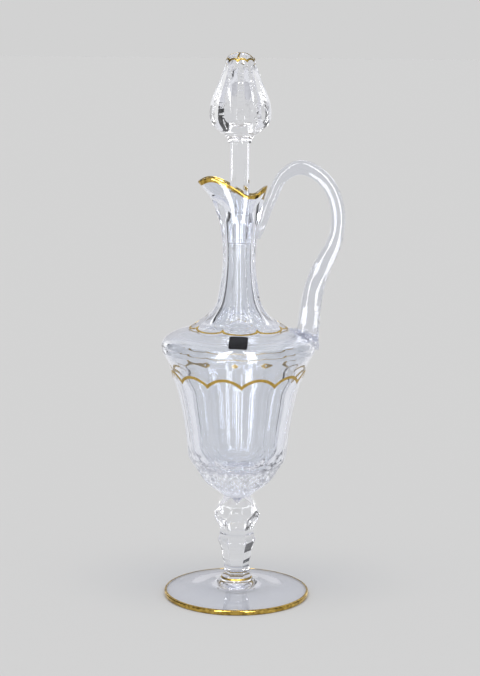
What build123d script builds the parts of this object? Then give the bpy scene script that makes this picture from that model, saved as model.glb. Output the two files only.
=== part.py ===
from build123d import *
import os
from math import cos, radians, sin, tan

os.makedirs("parts", exist_ok=True)

# A footed jug of cut crystal with a lift-out stopper, in millimetres.
# Z is up and the origin is the middle of the foot's underside. The spout points to -X,
# the handle stands at +X and the front faces -Y. Bearings are degrees from the front
# towards the handle.

# Foot
foot_radius = 53.8
foot_rim_height = 3.4
foot_rise_radius = 17.2
foot_rise_height = 9.3
collar_height = 14.0
collar_radius = 10.9

# Stem baluster
baluster_length = 37.1
baluster_waist_radius = 9.8
baluster_belly_radius = 14.1
baluster_top_radius = 12.7
baluster_sides = 6
baluster_bearing = 0.0

# Stem knop
knop_length = 25.3
knop_radius = 17.6
knop_top_radius = 10.8
knop_sides = 6
knop_bearing = 0.0

# Bowl and shoulder
calyx_height = 27.6
calyx_radius = 36.8
flute_height = 60.0
flute_arch_height = 6.0
flute_top_radius = 47.5
shoulder_flare_height = 17.3
shoulder_radius = 56.4
shoulder_dome_height = 14.7
flute_count = 12
flute_bearing = 18.0

# Neck
neck_foot_radius = 34.7
neck_flare_height = 47.8
neck_waist_radius = 11.7
neck_upper_height = 36.2
neck_top_radius = 16.4
neck_sides = 8
neck_bearing = 2.2

# Lip, with heights above the top of the neck
lip_height = 26.0
spout_reach = 34.0
lip_back_reach = 21.2
lip_half_width = 13.0
lip_dip_height = 12.7
spout_tip_height = 22.2
spout_crest_height = 25.1
lip_back_height = 19.2
lip_wall = 2.3
mouth_steps = 16

# Hollow of the vessel
floor_height = 21.6
floor_radius = 12.0
bowl_wall = 3.6
shoulder_wall = 3.9

# Ground seat and stopper
seat_top_radius = 7.8
seat_bottom_radius = 7.2
seat_length = 22.4
seat_depth = 2.0
seat_clearance = 0.08
seat_run_out = 6.0
plug_end_gap = 2.0
shank_radius = 6.85
shank_top_height = 52.0
shank_sides = 8
finial_neck_radius = 8.4
finial_radius = 22.6
finial_panel_share = 0.875
finial_belly_height = 21.5
finial_length = 64.0
finial_crown_radius = 10.9
finial_crown_height = 57.0
finial_sides = 5
finial_bearing = -1.5
crown_bearing = -11.0

# Handle
handle_reach = 71.6
handle_top_rise = 32.6
handle_foot_inset = 6.2
handle_thickness = 10.4
handle_width = 13.0
handle_foot_thickness = 16.0
handle_foot_width = 17.0
handle_leaf_drop = 35.0

# Gilding and label
gilding_thickness = 0.2
lip_gilding_height = 3.0
shoulder_line_lift = 0.85
neck_line_drop = 0.25
collar_line_height = 1.3
rim_gilding_width = 1.2
ring_gilding_width = 0.5
crown_dot_radius = 1.9
crown_line_width = 1.0
label_side = 13.4
label_corner_radius = 1.6
label_thickness = 0.15
label_tilt = -3.0
label_radius = 43.6

# Levels worked out from the heights above
baluster_top = collar_height + baluster_length
knop_top = baluster_top + knop_length
calyx_top = knop_top + calyx_height
flute_cusp = calyx_top + flute_height
flute_crest = flute_cusp + flute_arch_height
shoulder_level = flute_crest + shoulder_flare_height
neck_foot = shoulder_level + shoulder_dome_height
neck_waist = neck_foot + neck_flare_height
neck_top = neck_waist + neck_upper_height
lip_top = neck_top + lip_height
floor_level = knop_top + floor_height
seat_top = neck_top - seat_depth
seat_bottom = seat_top - seat_length
shank_top = seat_top + shank_top_height
finial_top = shank_top + finial_length
mouth_low = neck_waist + 0.68 * neck_upper_height
neck_corner = neck_waist_radius / cos(radians(180 / neck_sides))
mouth_low_radius = neck_corner + 2.3
far_out = 4 * foot_radius


def between(low, high, share):
    return low + (high - low) * share


def upright(points):
    return [(radius, 0, height) for radius, height in points]


def turned(points):
    """Solid turned about the axis under a smooth outline of radius and height."""
    curve = Spline(*upright(points))
    top = (0, 0, points[-1][1])
    bottom = (0, 0, points[0][1])
    outline = [curve, Line(curve @ 1, top), Line(top, bottom), Line(bottom, curve @ 0)]
    return revolve(Face(Wire(outline)), Axis.Z)


def grown(points, amount):
    """The same outline, moved outwards along its own normals."""
    moved = []
    for index, (radius, height) in enumerate(points):
        before = points[max(index - 1, 0)]
        after = points[min(index + 1, len(points) - 1)]
        along = Vector(after[0] - before[0], after[1] - before[1]).normalized()
        moved.append((radius + along.Y * amount, height - along.X * amount))
    return moved


def side_cuts(points, count, bearing, lift=0.0):
    """Blocks outside a smooth outline, one to a panel, straight across as a wheel cuts them."""
    curve = Spline(*upright([(radius, height + lift) for radius, height in points]))
    reach = 1.5 * max(radius for radius, height in points)
    top = (reach, 0, points[-1][1] + lift)
    bottom = (reach, 0, points[0][1] + lift)
    outline = [curve, Line(curve @ 1, top), Line(top, bottom), Line(bottom, curve @ 0)]
    half_width = reach * tan(radians(180 / count))
    block = extrude(Face(Wire(outline)), half_width, dir=(0, 1, 0), both=True)
    return around(block, count, bearing)


def around(shape, count, bearing):
    """Copies of a shape that lies along +X, evenly round the axis from a bearing."""
    return [shape.rotate(Axis.Z, bearing - 90 + 360 / count * step) for step in range(count)]


def flat_share(count):
    """Distance of a flat from the axis over the radius of its corners."""
    return cos(radians(180 / count))


def glass_foot():
    """Foot disc that rises in the middle to a collar, still without its gilding cut in."""
    middle_height = between(foot_rim_height, foot_rise_height, 0.42)
    throat_height = between(foot_rise_height, collar_height, 0.55)
    rise = Spline(
        (foot_radius, 0, foot_rim_height),
        (between(foot_rise_radius, foot_radius, 0.5), 0, middle_height),
        (foot_rise_radius, 0, foot_rise_height),
        (between(collar_radius, foot_rise_radius, 0.2), 0, throat_height),
        (collar_radius, 0, collar_height),
    )
    outline = [
        rise,
        Line(rise @ 1, (0, 0, collar_height)),
        Line((0, 0, collar_height), (0, 0, 0)),
        Line((0, 0, 0), (foot_radius, 0, 0)),
        Line((foot_radius, 0, 0), rise @ 0),
    ]
    disc = revolve(Face(Wire(outline)), Axis.Z)
    rim = [edge for edge in disc.edges() if edge.bounding_box().size.X > 2 * foot_radius - 1]
    return fillet(rim, foot_rim_height * 0.3)


def post(radius, low, high):
    return Pos(0, 0, low) * Cylinder(radius, high - low, align=(Align.CENTER, Align.CENTER, Align.MIN))


def ring(inner_radius, outer_radius, low, high):
    return post(outer_radius, low, high) - post(inner_radius, low - 1, high + 1)


def foot_rim_gold(foot):
    """Gilded skin of the rim, on its edge and the first stretch of its top."""
    zone = ring(foot_radius - rim_gilding_width, far_out, gilding_thickness, collar_height)
    core = ring(
        foot_radius - 2 * rim_gilding_width,
        foot_radius - gilding_thickness,
        0,
        foot_rim_height - gilding_thickness,
    )
    return (foot & zone) - core


def collar_gold(foot):
    """Thin line of gold round the collar, just under the stem."""
    line_foot = collar_height - collar_line_height
    return foot & ring(collar_radius - gilding_thickness, far_out, line_foot, collar_height)


def stem_baluster():
    """Six-sided length of stem, waisted below and bellied above."""
    outline = [
        (collar_radius, 0.0),
        (baluster_waist_radius, 0.11),
        (between(baluster_waist_radius, baluster_belly_radius, 0.07), 0.31),
        (between(baluster_waist_radius, baluster_belly_radius, 0.45), 0.52),
        (between(baluster_waist_radius, baluster_belly_radius, 0.84), 0.67),
        (baluster_belly_radius, 0.79),
        (between(baluster_belly_radius, baluster_top_radius, 0.5), 0.9),
        (baluster_top_radius, 1.0),
    ]
    flat = flat_share(baluster_sides)
    panel = [(radius * flat, collar_height + baluster_length * share) for radius, share in outline]
    blank = post(baluster_belly_radius + 2, collar_height, baluster_top)
    return blank - side_cuts(panel, baluster_sides, baluster_bearing)


def stem_knop():
    """Cut knop: flats below and flats above, half a side apart, which leave a row of points."""
    flat = flat_share(knop_sides)
    lower = [(baluster_top_radius * flat, baluster_top), (knop_radius * 1.16, knop_top)]
    upper = [(knop_radius * 1.28, baluster_top), (knop_top_radius * flat, knop_top)]
    blank = post(knop_radius, baluster_top, knop_top)
    cut = blank - side_cuts(lower, knop_sides, knop_bearing)
    return cut - side_cuts(upper, knop_sides, knop_bearing + 180 / knop_sides)


def vessel_outline():
    """Outline of the blown vessel before it is cut, from the stem to the middle of the neck."""
    return [
        (knop_top_radius + 0.4, knop_top),
        (between(knop_top_radius, calyx_radius, 0.37), between(knop_top, calyx_top, 0.245)),
        (between(knop_top_radius, calyx_radius, 0.6), between(knop_top, calyx_top, 0.44)),
        (between(knop_top_radius, calyx_radius, 0.84), between(knop_top, calyx_top, 0.77)),
        (calyx_radius + 0.4, calyx_top),
        (between(calyx_radius, flute_top_radius, 0.48), between(calyx_top, flute_cusp, 0.43)),
        (between(calyx_radius, flute_top_radius, 0.77), between(calyx_top, flute_cusp, 0.77)),
        (flute_top_radius, flute_cusp),
        (between(flute_top_radius, shoulder_radius, 0.18), flute_crest),
        (between(flute_top_radius, shoulder_radius, 0.47), between(flute_crest, shoulder_level, 0.42)),
        (between(flute_top_radius, shoulder_radius, 0.8), between(flute_crest, shoulder_level, 0.72)),
        (shoulder_radius, shoulder_level),
        (between(neck_foot_radius, shoulder_radius, 0.95), between(shoulder_level, neck_foot, 0.29)),
        (between(neck_foot_radius, shoulder_radius, 0.77), between(shoulder_level, neck_foot, 0.54)),
        (between(neck_foot_radius, shoulder_radius, 0.45), between(shoulder_level, neck_foot, 0.76)),
        (neck_foot_radius, neck_foot),
        (between(neck_corner, neck_foot_radius, 0.83), between(neck_foot, neck_waist, 0.067)),
        (between(neck_corner, neck_foot_radius, 0.67), between(neck_foot, neck_waist, 0.2)),
        (between(neck_corner, neck_foot_radius, 0.35), between(neck_foot, neck_waist, 0.5)),
        (neck_corner + 2.2, between(neck_foot, neck_waist, 0.8)),
        (neck_corner + 1.5, between(neck_waist, mouth_low, 0.3)),
        (mouth_low_radius, mouth_low),
    ]


def flute_flat(share):
    """Distance of a flute's flat from the axis, at a share of the way from calyx to shoulder."""
    return between(calyx_radius, flute_top_radius, share) * flat_share(flute_count)


def flute_panel():
    """Outline down the middle of a flute, which runs out of the glass in an arch at its top."""
    return [
        (calyx_radius * 0.925, calyx_top - 6),
        (calyx_radius * 0.96, between(calyx_top, flute_cusp, 0.1)),
        (flute_flat(0.14), between(calyx_top, flute_cusp, 0.35)),
        (flute_flat(0.4), between(calyx_top, flute_cusp, 0.62)),
        (flute_flat(0.68), between(calyx_top, flute_cusp, 0.84)),
        (flute_flat(1.0), flute_cusp),
        (between(flute_top_radius, shoulder_radius, 0.18), flute_crest),
        (shoulder_radius, flute_crest + 2 * flute_arch_height),
    ]


def calyx_panel():
    """Outline down the middle of a calyx flat, which meets the flutes in a zigzag."""
    return [
        (knop_top_radius * 0.98, knop_top),
        (between(knop_top_radius, calyx_radius, 0.12), between(knop_top, calyx_top, 0.11)),
        (between(knop_top_radius, calyx_radius, 0.32), between(knop_top, calyx_top, 0.245)),
        (between(knop_top_radius, calyx_radius, 0.53), between(knop_top, calyx_top, 0.44)),
        (between(knop_top_radius, calyx_radius, 0.75), between(knop_top, calyx_top, 0.77)),
        (calyx_radius * 0.94, calyx_top),
        (calyx_radius * 1.12, calyx_top + 6),
    ]


def neck_panel():
    """Outline down the middle of a neck flat, from its lobe on the shoulder to the mouth."""
    return [
        (between(neck_foot_radius, shoulder_radius, 0.3), neck_foot - 1.5),
        (neck_foot_radius, neck_foot),
        (neck_foot_radius * 0.882, neck_foot + 1.5),
        (neck_foot_radius * 0.827, neck_foot + 3.0),
        (between(neck_waist_radius, neck_foot_radius, 0.6), between(neck_foot, neck_waist, 0.11)),
        (between(neck_waist_radius, neck_foot_radius, 0.42), between(neck_foot, neck_waist, 0.2)),
        (between(neck_waist_radius, neck_foot_radius, 0.22), between(neck_foot, neck_waist, 0.34)),
        (between(neck_waist_radius, neck_foot_radius, 0.11), between(neck_foot, neck_waist, 0.55)),
        (between(neck_waist_radius, neck_foot_radius, 0.04), between(neck_foot, neck_waist, 0.77)),
        (neck_waist_radius, neck_waist),
        (between(neck_waist_radius, neck_top_radius, 0.1), between(neck_waist, neck_top, 0.38)),
        (between(neck_waist_radius, neck_top_radius, 0.4), between(neck_waist, neck_top, 0.72)),
        (neck_top_radius, between(neck_waist, neck_top, 0.96)),
        (neck_top_radius * 1.6, neck_top + 5),
    ]


def mouth_section(height, spout, back, half_width):
    """Level outline: half an ellipse towards the spout and half towards the handle."""
    points = []
    for step in range(mouth_steps):
        turn = radians(360 / mouth_steps * step)
        reach = back if cos(turn) > 0 else spout
        points.append((reach * cos(turn), half_width * sin(turn)))
    return Pos(0, 0, height) * Face(Wire(Spline(*points, periodic=True)))


def mouth_flare(low, low_radius, inset, stations):
    """Smooth flare from a round neck to the open mouth; inset draws its upper end in."""
    sections = []
    for rise, spout, back, width in stations:
        section = mouth_section(
            between(low, lip_top, rise),
            between(low_radius, spout_reach - inset, spout),
            between(low_radius, lip_back_reach - inset, back),
            between(low_radius, lip_half_width - inset, width),
        )
        sections.append(section)
    return loft(sections)


def mouth_outside(growth=0.0):
    """Flare of the mouth above the neck, pulled out into the spout."""
    stations = [
        (0.0, 0.0, 0.0, 0.0),
        (0.21, 0.065, 0.087, 0.34),
        (0.41, 0.165, 0.26, 0.64),
        (0.62, 0.354, 0.535, 0.9),
        (0.81, 0.674, 0.81, 1.0),
        (1.0, 1.0, 1.0, 1.0),
    ]
    return mouth_flare(mouth_low, mouth_low_radius + growth, -growth, stations)


def mouth_inside():
    """Funnel from the top of the ground seat up to the rim."""
    stations = [
        (0.0, 0.0, 0.0, 0.0),
        (0.26, 0.09, 0.15, 0.38),
        (0.5, 0.42, 0.51, 0.83),
        (0.75, 0.73, 0.81, 1.0),
        (1.0, 1.0, 1.0, 1.0),
    ]
    return mouth_flare(seat_top - 1.0, seat_top_radius - 0.4, lip_wall, stations)


def above_rim(drop=0.0):
    """Everything above the wavy rim, which dips at the sides and rises to the spout."""
    wave = [
        (-spout_reach * 1.15, spout_tip_height - 2.5),
        (-spout_reach * 0.91, spout_tip_height),
        (-spout_reach * 0.71, spout_crest_height),
        (-spout_reach * 0.38, between(lip_dip_height, spout_crest_height, 0.83)),
        (0.0, between(lip_dip_height, spout_crest_height, 0.29)),
        (lip_back_reach * 0.42, lip_dip_height),
        (lip_back_reach * 0.66, between(lip_dip_height, lip_back_height, 0.33)),
        (lip_back_reach * 0.86, lip_back_height),
        (lip_back_reach * 1.25, lip_back_height + 0.5),
    ]
    ceiling = lip_top + lip_height
    curve = Spline(*upright([(x, neck_top + height - drop) for x, height in wave]))
    first = (curve @ 0).X
    last = (curve @ 1).X
    outline = [
        curve,
        Line(curve @ 1, (last, 0, ceiling)),
        Line((last, 0, ceiling), (first, 0, ceiling)),
        Line((first, 0, ceiling), curve @ 0),
    ]
    return extrude(Face(Wire(outline)), 2 * lip_half_width, dir=(0, 1, 0), both=True)


def cone(bottom_radius, top_radius, low, high):
    return Pos(0, 0, low) * Cone(
        bottom_radius, top_radius, high - low, align=(Align.CENTER, Align.CENTER, Align.MIN)
    )


def hollow_outline():
    """Outline of the room inside the bowl and the neck, up to the ground seat."""
    flat = flat_share(flute_count)
    dome_low = between(shoulder_level, neck_foot, 0.54) - shoulder_wall
    dome_high = between(shoulder_level, neck_foot, 0.76) - shoulder_wall
    flare_radius = between(flute_top_radius, shoulder_radius, 0.47) - shoulder_wall
    return [
        (floor_radius, floor_level),
        (between(floor_radius, calyx_radius, 0.5), between(floor_level, calyx_top, 0.42)),
        (calyx_radius * 0.94 - bowl_wall, between(calyx_top, flute_cusp, 0.12)),
        (flute_flat(0.14) - bowl_wall, between(calyx_top, flute_cusp, 0.35)),
        (flute_flat(0.4) - bowl_wall, between(calyx_top, flute_cusp, 0.62)),
        (flute_flat(0.68) - bowl_wall, between(calyx_top, flute_cusp, 0.84)),
        (flute_top_radius * flat - bowl_wall * 0.9, flute_cusp),
        (flare_radius, between(flute_crest, shoulder_level, 0.42)),
        (shoulder_radius - shoulder_wall - 0.8, between(flute_crest, shoulder_level, 0.8)),
        (shoulder_radius - shoulder_wall, shoulder_level),
        (between(neck_foot_radius, shoulder_radius, 0.75), dome_low),
        (between(neck_foot_radius, shoulder_radius, 0.45), dome_high),
        (neck_foot_radius, neck_foot - shoulder_wall),
        (between(seat_bottom_radius, neck_foot_radius, 0.55), neck_foot + 1.0),
        (between(seat_bottom_radius, neck_foot_radius, 0.25), between(neck_foot, neck_waist, 0.22)),
        (between(seat_bottom_radius, neck_foot_radius, 0.08), between(neck_foot, neck_waist, 0.52)),
        (seat_bottom_radius + 0.2, neck_waist),
        (seat_bottom_radius, seat_bottom),
    ]


def seat_hollow():
    """Ground seat of the stopper, a slight taper that runs out into the funnel of the mouth."""
    taper = (seat_top_radius - seat_bottom_radius) / seat_length
    top_radius = seat_top_radius + taper * seat_run_out
    return cone(seat_bottom_radius, top_radius, seat_bottom, seat_top + seat_run_out)


def vessel_glass():
    """Bowl, shoulder, neck and spout, cut outside and hollow inside."""
    glass = turned(vessel_outline()) + mouth_outside()
    glass -= side_cuts(flute_panel(), flute_count, flute_bearing)
    glass -= side_cuts(calyx_panel(), flute_count, flute_bearing + 180 / flute_count)
    glass -= side_cuts(neck_panel(), neck_sides, neck_bearing)
    return glass


def handle_stations():
    """Stations up the handle: place, thickness in its own plane and width across it."""
    foot_x = shoulder_radius - handle_foot_inset
    foot_z = shoulder_level + 6.5
    top_z = neck_top + handle_top_rise
    top_x = between(neck_top_radius, handle_reach, 0.49)
    reach_z = between(foot_z, top_z, 0.71)
    leaf_z = neck_top + 3.0 - handle_leaf_drop / 2
    tip_z = neck_top + 16.0 - handle_leaf_drop
    upper = handle_thickness
    lower = handle_foot_thickness
    broad = handle_foot_width
    return [
        (foot_x, foot_z, lower * 1.05, broad),
        (foot_x + 1.2, between(foot_z, reach_z, 0.14), lower, broad),
        (between(foot_x, handle_reach, 0.14), between(foot_z, reach_z, 0.32), lower * 0.94, broad),
        (between(foot_x, handle_reach, 0.27), between(foot_z, reach_z, 0.46), lower * 0.9, handle_width),
        (between(foot_x, handle_reach, 0.49), between(foot_z, reach_z, 0.6), lower * 0.84, handle_width),
        (between(foot_x, handle_reach, 0.76), between(foot_z, reach_z, 0.73), upper * 1.15, handle_width),
        (between(foot_x, handle_reach, 0.95), between(foot_z, reach_z, 0.86), upper, handle_width),
        (handle_reach, reach_z, upper, handle_width),
        (between(top_x, handle_reach, 0.93), between(reach_z, top_z, 0.34), upper, handle_width),
        (between(top_x, handle_reach, 0.75), between(reach_z, top_z, 0.64), upper, handle_width),
        (between(top_x, handle_reach, 0.42), between(reach_z, top_z, 0.89), upper, handle_width),
        (top_x, top_z, upper, handle_width),
        (between(neck_top_radius, top_x, 0.62), between(neck_top, top_z, 0.86), upper * 0.88, handle_width),
        (between(neck_top_radius, top_x, 0.4), between(neck_top, top_z, 0.62), upper * 0.78, handle_width),
        (between(neck_top_radius, top_x, 0.27), between(neck_top, top_z, 0.36), upper * 0.76, handle_width),
        (between(neck_top_radius, top_x, 0.14), between(neck_top, top_z, 0.1), upper * 0.72, handle_width),
        (neck_top_radius, leaf_z + 5.0, upper * 0.55, handle_width * 0.85),
        (between(neck_waist_radius, neck_top_radius, 0.4), tip_z, upper * 0.25, handle_width * 0.3),
    ]


def swept(stations):
    """Solid through ovals that stand square to the line of the stations."""
    sections = []
    for index, (x, z, thickness, width) in enumerate(stations):
        before = stations[max(index - 1, 0)]
        after = stations[min(index + 1, len(stations) - 1)]
        along = Vector(after[0] - before[0], 0, after[1] - before[1]).normalized()
        square = Plane(origin=(x, 0, z), x_dir=(along.Z, 0, -along.X), z_dir=along)
        sections.append(square * Ellipse(thickness / 2, width / 2))
    return loft(sections)


def handle_pad():
    """Flattened end of the handle, stuck over the edge of the shoulder."""
    x = shoulder_radius - handle_foot_inset
    z = shoulder_level
    stations = [
        (x - 13.5, z + 12.6, 1.6, 4.0),
        (x - 8.0, z + 11.2, 6.0, handle_foot_width * 0.8),
        (x - 1.0, z + 8.0, 9.0, handle_foot_width * 1.05),
        (x + 4.6, z + 4.6, 7.0, handle_foot_width * 0.8),
        (x + 7.6, z - 1.5, 2.4, 5.0),
    ]
    return swept(stations)


def stopper_plug():
    """Ground end of the stopper, which keeps the seat's taper with a small clearance."""
    plug_bottom = seat_bottom + plug_end_gap
    taper = (seat_top_radius - seat_bottom_radius) / seat_length
    return cone(
        seat_bottom_radius + taper * plug_end_gap - seat_clearance,
        seat_top_radius - seat_clearance,
        plug_bottom,
        seat_top,
    )


def stopper_shank():
    """Eight-sided shank between the plug and the finial."""
    panel = [(shank_radius, seat_top), (shank_radius, shank_top)]
    blank = post(shank_radius / flat_share(shank_sides), seat_top, shank_top)
    return blank - side_cuts(panel, shank_sides, 0)


def finial_outline():
    return [
        (finial_neck_radius, shank_top),
        (between(finial_neck_radius, finial_radius, 0.06), shank_top + 3.4),
        (between(finial_neck_radius, finial_radius, 0.33), shank_top + 7.0),
        (between(finial_neck_radius, finial_radius, 0.72), shank_top + 11.3),
        (finial_radius * 0.985, shank_top + finial_belly_height * 0.8),
        (finial_radius, shank_top + finial_belly_height),
        (between(finial_radius, finial_crown_radius, 0.19), shank_top + finial_length * 0.51),
        (between(finial_radius, finial_crown_radius, 0.51), shank_top + finial_length * 0.642),
        (between(finial_radius, finial_crown_radius, 0.78), shank_top + finial_length * 0.753),
        (between(finial_radius, finial_crown_radius, 0.91), shank_top + finial_length * 0.82),
        (finial_crown_radius, shank_top + finial_crown_height),
        (finial_crown_radius * 0.87, between(shank_top + finial_crown_height, finial_top, 0.52)),
        (finial_crown_radius * 0.56, between(shank_top + finial_crown_height, finial_top, 0.85)),
        (0.4, finial_top),
    ]


def finial_panel():
    """Outline down the middle of one of the finial's shield-shaped panels."""
    flat = finial_panel_share
    return [
        (finial_radius * 1.3, shank_top + 3.0),
        (finial_radius * 0.93, shank_top + 8.5),
        (finial_radius * flat, shank_top + finial_belly_height * 0.75),
        (finial_radius * flat, shank_top + finial_belly_height),
        (between(finial_radius, finial_crown_radius, 0.19) * flat, shank_top + finial_length * 0.51),
        (between(finial_radius, finial_crown_radius, 0.51) * flat, shank_top + finial_length * 0.642),
        (between(finial_radius, finial_crown_radius, 0.78) * 0.89, shank_top + finial_length * 0.753),
        (finial_crown_radius * 0.95, shank_top + finial_length * 0.84),
        (finial_crown_radius * 1.02, shank_top + finial_crown_height),
        (finial_crown_radius * 1.3, finial_top),
    ]


def stopper_glass():
    """Plug, shank and cut finial, all one piece of glass."""
    finial = turned(finial_outline())
    for block in side_cuts(finial_panel(), finial_sides, finial_bearing):
        finial -= block
    return stopper_plug() + stopper_shank() + finial


def skin(outline, thickness, zone):
    """Thin layer that lies on a turned outline, kept only inside a zone."""
    return (turned(grown(outline, thickness)) & zone) - turned(outline)


def shoulder_gold():
    """Line of arches that follows the tops of the flutes."""
    zone = ring(calyx_radius, far_out, flute_cusp - flute_arch_height, flute_crest + flute_arch_height)
    layer = skin(vessel_outline(), gilding_thickness, zone)
    layer -= side_cuts(flute_panel(), flute_count, flute_bearing)
    rest = layer - side_cuts(flute_panel(), flute_count, flute_bearing, shoulder_line_lift)
    return layer - rest


def neck_gold():
    """Line of lobes that follows the feet of the neck flats."""
    zone = ring(neck_foot_radius * 0.8, neck_foot_radius * 1.25, shoulder_level, neck_foot + 5)
    layer = skin(vessel_outline(), gilding_thickness, zone)
    layer -= side_cuts(neck_panel(), neck_sides, neck_bearing)
    rest = layer - side_cuts(neck_panel(), neck_sides, neck_bearing, -neck_line_drop)
    return layer - rest


def lip_gold():
    """Gold over the rim and down the outside of the lip."""
    layer = mouth_outside(gilding_thickness) - mouth_inside() - above_rim()
    core = mouth_outside() - above_rim(gilding_thickness)
    band = layer - core
    rest = band - above_rim(lip_gilding_height)
    return band - rest


def crown_lines():
    """Upright blocks that mark the gold lines from the top of the finial to its ring."""
    block = Box(finial_crown_radius, crown_line_width, finial_length)
    line = Pos(finial_crown_radius / 2, 0, finial_top) * block
    return around(line, finial_sides, crown_bearing)


def ring_cutter(inset):
    radius = finial_crown_radius * 0.95 - inset
    panel = [(radius, shank_top), (radius, finial_top + 5)]
    return side_cuts(panel, 2 * finial_sides, crown_bearing + 90 / finial_sides)


def crown_gold():
    """Dot of gold at the very top, with lines from it down to the ring."""
    layer = crown_layer() - ring_cutter(ring_gilding_width)
    dot = post(crown_dot_radius, shank_top, finial_top + 1)
    lines = dot + crown_lines()
    return layer & lines


def crown_layer():
    zone = post(far_out, shank_top + finial_crown_height - 3, finial_top + 1)
    return skin(finial_outline(), gilding_thickness, zone)


def stopper_ring_gold():
    """Ring of small arches round the crown of the finial."""
    layer = crown_layer() - ring_cutter(0)
    rest = layer - ring_cutter(ring_gilding_width)
    return layer - rest


def label():
    """Small bare label with rounded corners, stuck on the front of the shoulder."""
    low = (between(neck_foot_radius, shoulder_radius, 0.77), between(shoulder_level, neck_foot, 0.54))
    high = (neck_foot_radius, neck_foot)
    height = between(low[1], high[1], (low[0] - label_radius) / (low[0] - high[0]))
    slope = Vector(low[0] - high[0], low[1] - high[1]).normalized()
    face_on = Plane(origin=(0, -label_radius, height), x_dir=(1, 0, 0), z_dir=(0, slope.Y, slope.X))
    square = RectangleRounded(label_side, label_side, label_corner_radius)
    zone = extrude(face_on * Rot(0, 0, label_tilt) * square, 5, both=True)
    return skin(vessel_outline(), label_thickness, zone)


def main():
    foot = glass_foot()
    rim_gold = foot_rim_gold(foot)
    stem_gold = collar_gold(foot)
    glass = vessel_glass()
    hollow = [turned(hollow_outline()), seat_hollow(), mouth_inside(), above_rim(gilding_thickness)]
    handle = (swept(handle_stations()) + handle_pad()) - glass
    nodes = {
        "foot": foot - rim_gold - stem_gold,
        "foot_rim_gilding": rim_gold,
        "stem_collar_gilding": stem_gold,
        "stem_baluster": stem_baluster(),
        "stem_knop": stem_knop(),
        "vessel": glass - hollow,
        "handle": handle,
        "stopper": stopper_glass(),
        "shoulder_gilding": shoulder_gold(),
        "neck_base_gilding": neck_gold(),
        "lip_gilding": lip_gold(),
        "stopper_ring_gilding": stopper_ring_gold(),
        "stopper_crown_gilding": crown_gold(),
        "label": label(),
    }
    for name, shape in nodes.items():
        export_step(shape, f"parts/{name}.step")


if __name__ == "__main__":
    main()
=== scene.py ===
from math import cos, pi, radians, sin

import bpy
import numpy as np
from mathutils import Matrix, Vector


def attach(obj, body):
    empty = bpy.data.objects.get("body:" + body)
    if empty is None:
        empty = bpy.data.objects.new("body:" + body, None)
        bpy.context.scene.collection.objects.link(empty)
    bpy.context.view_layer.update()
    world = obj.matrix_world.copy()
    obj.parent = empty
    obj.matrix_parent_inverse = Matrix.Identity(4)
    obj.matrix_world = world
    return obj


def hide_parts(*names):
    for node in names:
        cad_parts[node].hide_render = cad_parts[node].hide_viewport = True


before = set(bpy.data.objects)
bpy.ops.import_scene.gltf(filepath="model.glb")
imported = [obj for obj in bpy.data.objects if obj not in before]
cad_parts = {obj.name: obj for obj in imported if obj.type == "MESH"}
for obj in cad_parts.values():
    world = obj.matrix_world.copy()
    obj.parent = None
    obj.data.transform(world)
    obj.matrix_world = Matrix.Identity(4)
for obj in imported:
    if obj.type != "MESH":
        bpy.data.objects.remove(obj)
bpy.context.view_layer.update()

# Looks of a footed jug of cut crystal with a lift-out stopper. Outlines are radius and height in
# millimetres from the middle of the foot's underside. Bearings are degrees from the front towards
# the handle. Every mesh is turned to metres when it is made.

# Foot
foot_radius = 53.8
foot_rim_height = 3.4
foot_rise_radius = 17.2
foot_rise_height = 9.3
foot_glass = 3.9
foot_ledge = 4.0
foot_ledge_height = 0.25
collar_height = 14.0
collar_radius = 10.9

# Stem
baluster_length = 37.1
baluster_waist_radius = 9.8
baluster_belly_radius = 14.1
baluster_top_radius = 12.7
knop_length = 25.3
knop_radius = 17.6
knop_top_radius = 10.8
stem_sides = 6
stem_bearing = 0.0

# Bowl and shoulder
calyx_height = 27.6
calyx_radius = 36.8
flute_height = 60.0
flute_arch_height = 6.0
flute_top_radius = 47.5
shoulder_flare_height = 17.3
shoulder_radius = 56.4
shoulder_dome_height = 14.7
flute_count = 12
flute_bearing = 18.0

# Neck
neck_foot_radius = 34.7
neck_flare_height = 47.8
neck_waist_radius = 11.7
neck_upper_height = 36.2
neck_top_radius = 16.4
neck_sides = 8
neck_bearing = 2.2

# Lip, with heights above the top of the neck
lip_height = 26.0
spout_reach = 34.0
lip_back_reach = 21.2
lip_half_width = 13.0
lip_dip_height = 12.7
spout_tip_height = 22.2
spout_crest_height = 25.1
lip_back_height = 19.2
lip_wall = 2.3
rim_round = 1.15

# Hollow
floor_height = 21.6
floor_radius = 12.0
bowl_wall = 3.6
shoulder_wall = 3.9
seat_top_radius = 7.8
seat_bottom_radius = 7.2
seat_length = 22.4
seat_depth = 2.0
seat_clearance = 0.08
seat_run_out = 6.0

# Stopper
plug_end_gap = 2.0
shank_radius = 6.85
shank_top_height = 52.0
shank_sides = 8
finial_neck_radius = 8.4
finial_radius = 22.6
finial_panel_share = 0.875
finial_belly_height = 21.5
finial_length = 64.0
finial_crown_radius = 10.9
finial_crown_height = 57.0
finial_sides = 5
finial_bearing = -1.5
crown_bearing = -11.0
crown_arches = 10

# Handle
handle_reach = 71.6
handle_top_rise = 32.6
handle_foot_inset = 6.2
handle_thickness = 10.4
handle_width = 13.0
handle_foot_thickness = 16.0
handle_foot_width = 17.0
handle_leaf_drop = 35.0
handle_stuck_rise = 14.0
strap_boxiness = 0.62
strap_sides = 48

# Wheel cuts: notches along the ridges, hollows in the stem's sides, diamonds on the calyx
notch_pitch = 2.2
notch_depth = 0.42
wheel_hollow = 0.75
diamond_depth = 0.75
diamond_height = 5.2
diamonds_round = 24

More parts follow.
